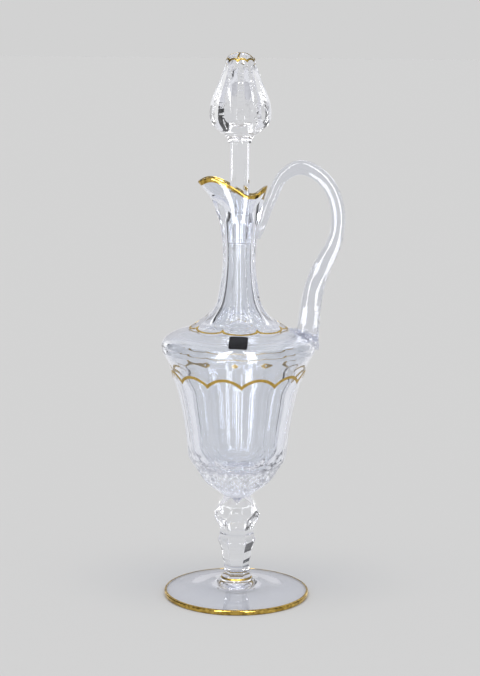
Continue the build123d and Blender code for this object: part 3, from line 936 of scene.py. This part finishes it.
def baluster_panel(rise):
    """Middle of a side of the baluster: four flat cuts, one above the other."""
    flat = cos(pi / stem_sides)
    waist, belly, top = baluster_waist_radius, baluster_belly_radius, baluster_top_radius
    rises = np.array([0.0, 0.11, 0.37, 0.75, 1.0])
    radii = (collar_radius, waist, between(waist, belly, 0.12), belly, top)
    cut = np.clip(np.searchsorted(rises, rise, side="right") - 1, 0, len(rises) - 2)
    share = (rise - rises[cut]) / (rises[cut + 1] - rises[cut])
    return np.interp(rise, rises, radii) * flat - wheel_hollow * np.sin(pi * share)


def baluster(crystal, joint):
    """Six-sided length of stem, waisted below and bellied above, with a crisp edge at each cut."""
    bearings = columns(6, corners(stem_sides, stem_bearing))
    rise = shares(101) + np.zeros_like(bearings)
    heights = between(collar_height, baluster_top, rise)
    radii = baluster_panel(rise) / across(bearings, stem_sides, stem_bearing)
    rows = placed(radii, bearings, heights)
    kinds = [1] + [0] * (len(rows) - 1) + [1]
    return shell("stem_baluster_glass", rows, [crystal, joint], kinds=kinds)


def foot_profile():
    """Radius and height round the edge and over the top of the foot, and where the rise begins."""
    edge = foot_rim_height * 0.3
    top = foot_rim_height + 0.12
    quarter = np.linspace(0, pi / 2, 9)
    half_way = between(foot_rise_radius, foot_radius, 0.5)
    side = foot_radius - edge
    lower = np.stack([side + edge * np.sin(quarter), edge - edge * np.cos(quarter)], 1)
    upper = np.stack([side + edge * np.cos(quarter), top - edge + edge * np.sin(quarter)], 1)
    rise = curve_through([
        (side, top),
        (half_way, between(foot_rim_height, foot_rise_height, 0.42)),
        (foot_rise_radius, foot_rise_height),
        (between(collar_radius, foot_rise_radius, 0.2), between(foot_rise_height, collar_height, 0.55)),
        (collar_radius, collar_height),
    ], 60)
    return lower, upper, rise


def foot(crystal, joint):
    """Round foot of even thickness, which rises in the middle to the stem's collar."""
    bearings = columns(2, corners(stem_sides, stem_bearing))
    level = np.zeros_like(bearings)
    lower, upper, rise = foot_profile()
    half_way = between(foot_rise_radius, foot_radius, 0.5)
    under = curve_through([
        (3.0, foot_rise_height - foot_glass + 1.0),
        (foot_rise_radius, foot_rise_height - foot_glass),
        (half_way, between(foot_rim_height, foot_rise_height, 0.42) - foot_glass),
        (foot_radius - foot_ledge, foot_ledge_height),
        (lower[0, 0], 0.0),
    ], 30)
    profile = np.concatenate([under[:-1], lower, upper, rise[1:]])
    rows = [placed(radius + level, bearings, height) for radius, height in profile]
    seam = baluster_panel(0) / across(bearings, stem_sides, stem_bearing)
    rows.append(placed(np.minimum(seam, collar_radius) - 0.02, bearings, collar_height))
    kinds = [0] * len(rows) + [1]
    return shell("foot_glass", rows, [crystal, joint], kinds=kinds)


class StopperShape:
    """Points of the plug, shank and finial, kept so that the gilding can lie on them."""

    def __init__(self):
        ridges = corners(finial_sides, finial_bearing)
        beside = [ridges + offset for offset in np.linspace(-10.5, 10.5, 25)]
        shank_edges = corners(shank_sides, 0)
        self.bearings = columns(3, *beside, shank_edges)
        self.blank = finial_outline()
        self.panel = finial_panel()
        self.in_panel = across(self.bearings, finial_sides, finial_bearing)
        self.on_ridge = near_ridges(self.bearings, finial_sides, finial_bearing, 3.5)
        middle = shank_top + finial_belly_height
        widest = np.maximum(self.in_panel, finial_panel_share + 0.004)
        self.low = crossing(
            lambda h: self.blank.radius(h) - self.panel.radius(h) / widest, shank_top + 3, middle
        )
        self.high = crossing(
            lambda h: self.panel.radius(h) / widest - self.blank.radius(h), middle, finial_top - 2
        )

    def cut_radius(self, heights):
        """Radius of the finial: round blank, notched ridges and flat panels."""
        above = heights > shank_top + finial_belly_height * 0.5
        below = heights < shank_top + finial_crown_height - 4
        notched = self.blank.radius(heights) - notches(heights) * self.on_ridge * above * below
        return np.minimum(self.panel.radius(heights) / self.in_panel, notched)

    def rows(self):
        level = np.zeros_like(self.bearings)
        plug_bottom = seat_bottom + plug_end_gap
        heights = between(plug_bottom, seat_top, shares(10)) + level
        heights = np.concatenate([heights[:1], heights[:1] + 0.5, heights[1:]])
        radii = seat_radius(heights) - seat_clearance
        radii[0] -= 0.5
        plug = placed(radii, self.bearings, heights)
        end = placed((radii[0] * 0.5)[None, :], self.bearings, heights[:1])
        heights = between(seat_top + 0.4, shank_top, shares(14)) + level
        shank_radii = shank_radius / across(self.bearings, shank_sides, 0)
        shank = placed(shank_radii + 0 * heights, self.bearings, heights)
        heights = self.blank.spread(shank_top, self.low, shares(36))
        cup = placed(self.cut_radius(heights), self.bearings, heights)
        heights = between(self.low, self.high, shares(90))
        shields = placed(self.cut_radius(heights), self.bearings, heights)
        heights = self.blank.spread(self.high, finial_top, shares(56))
        crown = placed(self.cut_radius(heights), self.bearings, heights)
        return np.concatenate([end, plug, shank, cup, shields[1:], crown[1:]])


def stopper(shape, crystal):
    """Plug, shank and cut finial, all one piece of glass."""
    return shell("stopper_glass", shape.rows(), [crystal])


def handle_stations():
    """Stations up the handle: place, thickness in its own plane and width across it."""
    foot_x = shoulder_radius - handle_foot_inset
    foot_z = shoulder_level + 6.5
    top_z = neck_top + handle_top_rise
    top_x = between(neck_top_radius, handle_reach, 0.49)
    reach_z = between(foot_z, top_z, 0.71)
    leaf_z = neck_top + 3.0 - handle_leaf_drop / 2
    tip_z = neck_top + 16.0 - handle_leaf_drop
    upper = handle_thickness
    lower = handle_foot_thickness
    broad = handle_foot_width
    width = handle_width
    return [
        (foot_x, foot_z, lower * 1.05, broad),
        (foot_x + 1.2, between(foot_z, reach_z, 0.14), lower, broad),
        (between(foot_x, handle_reach, 0.14), between(foot_z, reach_z, 0.32), lower * 0.94, broad),
        (between(foot_x, handle_reach, 0.27), between(foot_z, reach_z, 0.46), lower * 0.9, width),
        (between(foot_x, handle_reach, 0.49), between(foot_z, reach_z, 0.6), lower * 0.84, width),
        (between(foot_x, handle_reach, 0.76), between(foot_z, reach_z, 0.73), upper * 1.15, width),
        (between(foot_x, handle_reach, 0.95), between(foot_z, reach_z, 0.86), upper, width),
        (handle_reach, reach_z, upper, width),
        (between(top_x, handle_reach, 0.93), between(reach_z, top_z, 0.34), upper, width),
        (between(top_x, handle_reach, 0.75), between(reach_z, top_z, 0.64), upper, width),
        (between(top_x, handle_reach, 0.42), between(reach_z, top_z, 0.89), upper, width),
        (top_x, top_z, upper, width),
        (between(neck_top_radius, top_x, 0.62), between(neck_top, top_z, 0.86), upper * 0.88, width),
        (between(neck_top_radius, top_x, 0.4), between(neck_top, top_z, 0.62), upper * 0.78, width),
        (between(neck_top_radius, top_x, 0.27), between(neck_top, top_z, 0.36), upper * 0.76, width),
        (between(neck_top_radius, top_x, 0.14), between(neck_top, top_z, 0.1), upper * 0.72, width),
        (neck_top_radius, leaf_z + 5.0, upper * 0.55, width * 0.85),
        (between(neck_waist_radius, neck_top_radius, 0.4), tip_z, upper * 0.25, width * 0.3),
    ]


def handle_pad_stations():
    """Flattened end of the handle, stuck over the edge of the shoulder."""
    x = shoulder_radius - handle_foot_inset
    z = shoulder_level
    return [
        (x - 13.5, z + 12.6, 1.6, 4.0),
        (x - 8.0, z + 11.2, 6.0, handle_foot_width * 0.8),
        (x - 1.0, z + 8.0, 9.0, handle_foot_width * 1.05),
        (x + 4.6, z + 4.6, 7.0, handle_foot_width * 0.8),
        (x + 7.6, z - 1.5, 2.4, 5.0),
    ]


def limb(name, stations, shape, materials, count, cuts, outer_cut, round_cut):
    """Drawn strap through the stations, with soft flat sides. It is notched between two shares of
    its length, on its outer side and all round as deep as the cuts say. Where it was stuck on hot
    it lies on the skin of the vessel and leaves nothing to see."""
    line = curve_through(stations, count)
    places, sizes = line[:, :2], line[:, 2:]
    steps = np.linalg.norm(np.diff(places, axis=0), axis=1)
    lengths = np.append(0, np.cumsum(steps))
    along = np.gradient(places, axis=0)
    along /= np.linalg.norm(along, axis=1, keepdims=True)
    turn = np.linspace(0, 2 * pi, strap_sides, endpoint=False)
    boxy = np.stack([np.cos(turn), np.sin(turn)])
    boxy = np.sign(boxy) * np.abs(boxy) ** strap_boxiness
    on_outer_side = np.clip(np.cos(turn) * 5 - 3, 0, 1)
    deep = np.maximum(on_outer_side * outer_cut, round_cut)
    rows = []
    for (x, z), (dx, dz), (thickness, width), length in zip(places, along, sizes, lengths):
        cut = notches(length) * (cuts[0] < length / lengths[-1] < cuts[1]) * deep
        out = (thickness / 2 - cut) * boxy[0]
        side = (width / 2 - cut) * boxy[1]
        rows.append(np.stack([x + out * dz, side, z - out * dx], axis=-1))
    rows = np.array(rows)
    radii = np.hypot(rows[..., 0], rows[..., 1])
    skin = shape.skin_radius(np.degrees(np.arctan2(rows[..., 0], -rows[..., 1])), rows[..., 2])
    stuck = (radii < skin) & (rows[..., 2] < neck_top + handle_stuck_rise)
    rows[..., :2] *= np.where(stuck, (skin + 0.02) / radii, 1.0)[..., None]
    thing = shell(name, rows, materials, crease=30)
    hidden = [*stuck.ravel(), stuck[0].all(), stuck[-1].all()]
    for face in thing.data.polygons:
        face.material_index = int(all(hidden[corner] for corner in face.vertices))
    return thing


# Gilding and label

def repeated(name, part, count, material):
    """Copies of a part evenly round the axis, joined edge to edge, made by geometry nodes."""
    tree = bpy.data.node_groups.new(name + "_repeat", "GeometryNodeTree")
    sockets = tree.interface
    sockets.new_socket("Part", in_out="INPUT", socket_type="NodeSocketGeometry")
    copies = sockets.new_socket("Copies", in_out="INPUT", socket_type="NodeSocketInt")
    join = sockets.new_socket("Join distance", in_out="INPUT", socket_type="NodeSocketFloat")
    sockets.new_socket("Ring", in_out="OUTPUT", socket_type="NodeSocketGeometry")
    entry = add(tree, "NodeGroupInput")
    step = reckon(tree, "DIVIDE", 2 * pi, entry.outputs["Copies"])
    index = add(tree, "GeometryNodeInputIndex").outputs[0]
    about = add(tree, "ShaderNodeCombineXYZ", {"Z": reckon(tree, "MULTIPLY", index, step)})
    places = add(tree, "GeometryNodePoints", {"Count": entry.outputs["Copies"]})
    spread = add(tree, "GeometryNodeInstanceOnPoints", {
        "Points": places.outputs[0],
        "Instance": entry.outputs["Part"],
        "Rotation": about.outputs[0],
    })
    real = add(tree, "GeometryNodeRealizeInstances", {"Geometry": spread.outputs[0]})
    joined = add(tree, "GeometryNodeMergeByDistance", {
        "Geometry": real.outputs[0],
        "Distance": entry.outputs["Join distance"],
    })
    finish = add(tree, "GeometryNodeSetMaterial", {"Geometry": joined.outputs[0], "Material": material})
    add(tree, "NodeGroupOutput", {"Ring": finish.outputs[0]})
    modifier = part.modifiers.new("repeat", "NODES")
    modifier.node_group = tree
    modifier[copies.identifier] = count
    modifier[join.identifier] = join_distance * millimetre
    view = bpy.context.evaluated_depsgraph_get()
    mesh = bpy.data.meshes.new_from_object(part.evaluated_get(view), depsgraph=view)
    part.modifiers.clear()
    bpy.data.objects.remove(part)
    mesh.name = name
    thing = bpy.data.objects.new(name, mesh)
    bpy.context.scene.collection.objects.link(thing)
    thing.data.set_sharp_from_angle(angle=radians(40))
    return thing


def film_part(grid):
    """Length of film that is open where the next one joins it."""
    along = np.gradient(grid, axis=0)
    around = np.gradient(grid, axis=1)
    normals = np.cross(around, along)
    normals /= np.linalg.norm(normals, axis=-1, keepdims=True)
    for edge in (0, -1):
        # An end keeps to its own upright plane, so that it meets its neighbour
        turn = np.arctan2(grid[:, edge, 0], -grid[:, edge, 1])
        sideways = np.stack([np.cos(turn), np.sin(turn), 0 * turn], axis=-1)
        normals[:, edge] -= (normals[:, edge] * sideways).sum(axis=-1, keepdims=True) * sideways
        normals[:, edge] /= np.linalg.norm(normals[:, edge], axis=-1, keepdims=True)
    rows = [*(grid + normals * film_proud), *(grid - normals * film_sunk)[::-1]]
    count = grid.shape[1]
    faces = []
    for low in range(len(rows)):
        high = (low + 1) % len(rows)
        for j in range(count - 1):
            faces.append((low * count + j, low * count + j + 1, high * count + j + 1, high * count + j))
    return fresh_object("film_part", np.concatenate(rows), faces, [])


def line_beside(outline, crease, width, side):
    """Grid over one repeat of a painted line that lies beside a crease: above it when the side is
    1 and below it when the side is -1."""
    bearings, heights = crease
    lengths = outline.length(heights)
    steps = np.radians(np.diff(bearings)) * outline.radius(heights[:-1])
    slopes = np.abs(np.diff(lengths) / steps)
    slopes = (np.append(slopes[0], slopes) + np.append(slopes, slopes[-1])) / 2
    far = lengths + side * width * np.sqrt(1 + slopes**2)
    reach = between(lengths, far, shares(5))
    heights = np.interp(reach, outline.lengths, outline.heights)
    if side < 0:
        heights = heights[::-1]
    return placed(outline.radius(heights), bearings, heights)


def shoulder_gilding(gold):
    """Twelve arches painted over the tops of the flutes."""
    bearings = flute_bearing + 360 / flute_count * np.linspace(-0.5, 0.5, 31)
    crease = (bearings, arch_heights(bearings))
    part = film_part(line_beside(vessel_outline(), crease, shoulder_line_width, 1))
    return repeated("shoulder_gilding_line", part, flute_count, gold)


def neck_base_gilding(gold):
    """Eight lobes painted round the feet of the neck flats."""
    bearings = neck_bearing + 360 / neck_sides * np.linspace(-0.5, 0.5, 41)
    crease = (bearings, lobe_heights(bearings))
    part = film_part(line_beside(vessel_outline(), crease, neck_line_width, -1))
    return repeated("neck_base_gilding_line", part, neck_sides, gold)


def crown_heights(radii):
    """Heights of the crown of the finial at some distances from the axis."""
    blank = finial_outline()
    on_crown = blank.heights > shank_top + finial_crown_height - 2.5
    return np.interp(radii, blank.radii[on_crown][::-1], blank.heights[on_crown][::-1])


def crown_ring_gilding(gold):
    """Ten small arches painted round the crown of the finial."""
    step = 360 / crown_arches
    bearings = crown_bearing + step / 2 + step * np.linspace(-0.5, 0.5, 13)
    near = np.cos(np.radians(bearings - crown_bearing - step / 2))
    outer = finial_crown_radius * 0.95 / near
    radii = between(outer, outer - ring_gilding_width, shares(4))
    part = film_part(placed(radii, bearings, crown_heights(radii)))
    return repeated("stopper_ring_gilding_line", part, crown_arches, gold)


def crown_gilding(gold):
    """Dot of gold at the very top, with a line from it down to the ring on each ridge."""
    ring = finial_crown_radius * 0.95 - ring_gilding_width * 0.6
    step = 360 / finial_sides
    lines = crown_bearing + step * np.arange(finial_sides)
    beside = np.array([3.2, 4.0, 5.2, 7.0, 9.5, 12.5, 17.0])
    bearings = columns(7, *[lines + offset for offset in (0, *beside, *-beside)])
    away = np.abs((bearings - crown_bearing + step / 2) % step - step / 2)
    reach = crown_line_width / 2 / np.sin(np.radians(np.maximum(away, 0.5)))
    reach = np.clip(reach, crown_dot_radius, ring)
    radii = reach * shares(12)[1:]
    grid = placed(radii, bearings, crown_heights(radii))[::-1]
    normals = outward(grid)
    rows = [*(grid - normals * film_sunk)[::-1], *(grid + normals * film_proud)]
    return shell("stopper_crown_gilding_dot", rows, [gold], crease=50)


def lip_gilding(shape, gold):
    """Gold under the rim, up to its crown: broad at the spout and narrow in the dip."""
    reach = shape.outside_mouth(shape.outer_rim[None])[0, :, 0]
    height = lip_gilding_height * np.interp(
        reach, [-spout_reach, 0, lip_back_reach * 0.42, lip_back_reach], [1.15, 1.05, 0.75, 2.0]
    )
    outside = shape.outside_mouth(
        between(shape.outer_rim - height, shape.outer_rim - rim_round, shares(8))
    )
    grid = np.concatenate([outside, shape.rim()[1:6]])
    return film("lip_gilding_band", grid, gold)


def collar_gilding(gold):
    """Thin line painted on the collar, just under the stem."""
    bearings = columns(4)
    rise = foot_profile()[2]
    heights = between(collar_height - collar_line_height, collar_height, shares(6))
    radii = np.interp(heights, rise[:, 1], rise[:, 0])
    level = np.zeros_like(bearings)
    return film("stem_collar_gilding_line", placed(radii + level, bearings, heights), gold)


def foot_rim_gilding(gold):
    """Gold on the edge of the foot and on the first stretch of its top."""
    bearings = columns(2)
    lower, upper, rise = foot_profile()
    on_top = rise[rise[:, 0] > foot_radius - 2 * rim_gilding_width]
    profile = np.concatenate([lower[3:], upper, on_top[1:]])
    level = np.zeros_like(bearings)
    grid = np.stack([placed(radius + level, bearings, height) for radius, height in profile])
    return film("foot_rim_gilding_band", grid, gold)


def label_film(black):
    """Small bare label with rounded corners, on the front of the shoulder."""
    blank = vessel_outline()
    heights = np.linspace(shoulder_level, neck_foot, 400)
    middle = np.interp(-label_radius, -blank.radius(heights), heights)
    slope = np.array(stretch(shoulder_edge, neck_start, (0.23, 0.54))[0]) - neck_start
    slope /= np.linalg.norm(slope)
    normal = Vector((0, slope[1], slope[0]))
    level = Vector((1, 0, 0))
    up = normal.cross(level)
    origin = Vector((0, -label_radius, middle))
    turn = np.linspace(0, 2 * pi, 96, endpoint=False)
    straight = np.array([label_side, label_length]) / 2 - label_corner_radius
    reach = []
    for direction in np.stack([np.cos(turn), np.sin(turn)], axis=-1):
        lengths = np.linspace(0, label_length, 1400)
        over = np.maximum(np.abs(direction * lengths[:, None]) - straight, 0)
        inside = np.linalg.norm(over, axis=1) < label_corner_radius
        reach.append(lengths[inside].max())
    tilt = radians(label_tilt)
    rows = []
    for share in np.linspace(0, 1, 9)[1:]:
        row = []
        for angle, length in zip(turn, reach):
            u = share * length * cos(angle + tilt)
            v = share * length * sin(angle + tilt)
            flat = origin + level * u + up * v
            lifts = np.linspace(-6, 6, 1200)
            trail = np.array(flat) + lifts[:, None] * np.array(normal)
            gaps = np.hypot(trail[:, 0], trail[:, 1]) - blank.radius(trail[:, 2])
            row.append(trail[np.argmax(gaps > 0)])
        rows.append(row)
    grid = np.array(rows)
    push = np.array(normal)
    layers = [*(grid - push * film_sunk), *(grid + push * film_proud)[::-1]]
    return shell("shoulder_label_film", layers, [black], crease=40)


# Studio

def studio_floor():
    """Sheet of pale studio paper under the jug."""
    material, tree = fresh_material("pale_studio_paper")
    place = add(tree, "ShaderNodeTexCoord").outputs["Object"]
    fibre = add(tree, "ShaderNodeTexNoise", {"Vector": place, "Scale": 900.0, "Detail": 2.0})
    paper = add(tree, "ShaderNodeBsdfDiffuse", {
        "Color": to_linear(pale),
        "Normal": rippled(tree, fibre.outputs["Fac"], 0.05, 0.1),
    })
    add(tree, "ShaderNodeOutputMaterial", {"Surface": paper.outputs[0]})
    sides = ((-1, -1), (1, -1), (1, 1), (-1, 1))
    points = [(x * floor_reach, y * floor_reach, -floor_drop) for x, y in sides]
    sheet = fresh_object("studio_floor", points, [(0, 1, 2, 3)], [material])


def studio_world():
    """Plain pale surroundings, with darker walls for what reflects them and less light for what
    they shine on."""
    world = bpy.data.worlds.new("pale_studio")
    bpy.context.scene.world = world
    world.use_nodes = True
    tree = world.node_tree
    tree.nodes.clear()
    path = add(tree, "ShaderNodeLightPath").outputs
    mirrored = reckon(tree, "GREATER_THAN", path["Glossy Depth"], 0.5)
    way = add(tree, "ShaderNodeTexCoord").outputs["Generated"]
    parts = add(tree, "ShaderNodeSeparateXYZ", {"Vector": way})
    height = add(tree, "ShaderNodeMapRange", {
        "Value": parts.outputs["Z"],
        "From Min": -0.1,
        "From Max": 0.5,
        "To Min": 0.6,
        "To Max": 0.94,
    })
    dimmer = add(tree, "ShaderNodeMapRange", {
        "Value": path["Diffuse Depth"],
        "To Min": 1.0,
        "To Max": 0.72,
    })
    plain = add(tree, "ShaderNodeBackground", {
        "Color": to_linear(pale),
        "Strength": dimmer.outputs["Result"],
    })
    walls = add(tree, "ShaderNodeBackground", {
        "Color": to_linear("#E4E4E8"),
        "Strength": height.outputs["Result"],
    })
    add(tree, "ShaderNodeOutputWorld", {"Surface": mixed(tree, mirrored, plain, walls)})


def overhead_light(name, lean):
    """Wide soft light from high on one side, which leaves a soft shadow beside the foot."""
    light = bpy.data.lights.new(name, "SUN")
    light.energy = overhead_strength
    light.angle = radians(overhead_spread)
    lamp = bpy.data.objects.new(name, light)
    bpy.context.scene.collection.objects.link(lamp)
    lamp.rotation_euler = (radians(overhead_tilt), radians(lean), 0)
    lamp.visible_glossy = False
    lamp.visible_transmission = False


def card(name, strength, azimuth, half_angle, distance, rows, deepest, through_glass):
    """Curved card of light, or a dark one, through rows of a share of the distance and a height. It
    only shows in reflections, up to the deepest, and perhaps through glass."""
    material, tree = fresh_material(name)
    path = add(tree, "ShaderNodeLightPath").outputs
    middle = (deepest + 1) / 2
    seen = reckon(tree, "COMPARE", path["Glossy Depth"], middle, middle - 0.5)
    if through_glass:
        bent = reckon(tree, "GREATER_THAN", path["Transmission Depth"], 1.5)
        seen = reckon(tree, "MAXIMUM", seen, bent)
    direct = reckon(tree, "LESS_THAN", path["Diffuse Depth"], 0.5)
    shown = reckon(tree, "MULTIPLY", seen, direct)
    clear = add(tree, "ShaderNodeBsdfTransparent")
    glow = add(tree, "ShaderNodeEmission", {"Color": to_linear("#FFFFFF"), "Strength": strength})
    add(tree, "ShaderNodeOutputMaterial", {"Surface": mixed(tree, shown, clear, glow)})
    material.cycles.emission_sampling = "NONE"
    sides = np.radians(azimuth + np.linspace(-half_angle, half_angle, 5))
    points = []
    for share, height in rows:
        radius = share * distance
        points += [(radius * np.sin(side), -radius * np.cos(side), height) for side in sides]
    faces = []
    for i in range(len(rows) - 1):
        for j in range(len(sides) - 1):
            low = i * len(sides) + j
            high = low + len(sides)
            faces.append((low, low + 1, high + 1, high))
    sheet = fresh_object(name, points, faces, [material])
    sheet.visible_shadow = False


def softbox(name, strength, azimuth, half_angle, distance):
    """Tall box of light that leans over the jug, seen in the first two reflections only."""
    rows = [(1.0, 0), (1.0, 700), (1.0, 1300), (0.75, 1750), (0.3, 2000)]
    card(name, strength, azimuth, half_angle, distance, rows, deepest=2, through_glass=False)


def flag(name, strength, azimuth, half_angle):
    """Nearly black upright card, which gives the crystal its dark edges and sparkles."""
    rows = [(1.0, 0), (1.0, 1500)]
    card(name, strength, azimuth, half_angle, flag_distance, rows, deepest=12, through_glass=True)


def studio_lights():
    """Two lights overhead, two softboxes in front, two strips behind, and flags on both sides."""
    overhead_light("overhead_left", -overhead_lean)
    overhead_light("overhead_right", overhead_lean)
    softbox("softbox_left", 12.0, -26, 7, softbox_distance)
    softbox("softbox_right", 12.0, 21, 7, softbox_distance)
    softbox("strip_back_left", 1.3, 215, 8, strip_distance)
    softbox("strip_back_right", 1.3, 150, 8, strip_distance)
    flag("flag_left", 0.06, -66, 8)
    flag("flag_right", 0.06, 68, 8)
    flag("flag_far_left", 0.03, -104, 12)
    flag("flag_far_right", 0.1, 114, 8)
    flag("flag_back_left", 0.03, -130, 9)


def camera():
    """Camera that takes the photograph's view."""
    lens = bpy.data.cameras.new("camera")
    lens.lens = camera_lens
    lens.sensor_width = 36
    lens.sensor_fit = "AUTO"
    view = bpy.data.objects.new("camera", lens)
    bpy.context.scene.collection.objects.link(view)
    view.matrix_world = (
        Matrix.Translation(Vector(camera_place) * millimetre)
        @ Matrix.Rotation(radians(90 - camera_pitch), 4, "X")
        @ Matrix.Rotation(radians(camera_roll), 4, "Z")
    )
    bpy.context.scene.camera = view


def belongs(thing, body, slot, *nodes):
    """Says which body a piece rides on and hides the solids that it stands for. The finish that it is
    given is not used.
    """
    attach(thing, body)
    if nodes:
        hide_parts(*nodes)


def jug():
    """Every piece of the jug, with the body that it rides on."""
    crystal = cut_lead_crystal()
    joint = fused_joint()
    rim_gold = rolled_gold()
    line_gold = painted_gold()
    crown_gold = darker_gold()
    shape = VesselShape()
    belongs(foot(crystal, joint), "jug", "crystal", "foot")
    belongs(baluster(crystal, joint), "jug", "crystal", "stem_baluster")
    belongs(knop(crystal, joint), "jug", "crystal", "stem_knop")
    belongs(vessel(shape, blown_lead_crystal(), joint), "jug", "crystal", "vessel")
    drawn = [drawn_lead_crystal(), joint]
    strap = limb("handle_glass", handle_stations(), shape, drawn,
                 count=440, cuts=(0.02, 0.55), outer_cut=3.0, round_cut=0.0)
    belongs(strap, "jug", "crystal", "handle")
    pad = limb("handle_pad_glass", handle_pad_stations(), shape, drawn,
               count=90, cuts=(0.1, 0.98), outer_cut=2.4, round_cut=2.4)
    belongs(pad, "jug", "crystal")
    belongs(lip_gilding(shape, rim_gold), "jug", "gilding", "lip_gilding")
    belongs(shoulder_gilding(line_gold), "jug", "gilding", "shoulder_gilding")
    belongs(neck_base_gilding(line_gold), "jug", "gilding", "neck_base_gilding")
    belongs(collar_gilding(line_gold), "jug", "gilding", "stem_collar_gilding")
    belongs(foot_rim_gilding(rim_gold), "jug", "gilding", "foot_rim_gilding")
    belongs(label_film(black_label_film()), "jug", "label", "label")
    belongs(stopper(StopperShape(), crystal), "stopper", "crystal", "stopper")
    belongs(crown_ring_gilding(crown_gold), "stopper", "gilding", "stopper_ring_gilding")
    belongs(crown_gilding(crown_gold), "stopper", "gilding", "stopper_crown_gilding")


bpy.context.scene.view_settings.view_transform = "Standard"
camera()
jug()
studio_world()
studio_floor()
studio_lights()
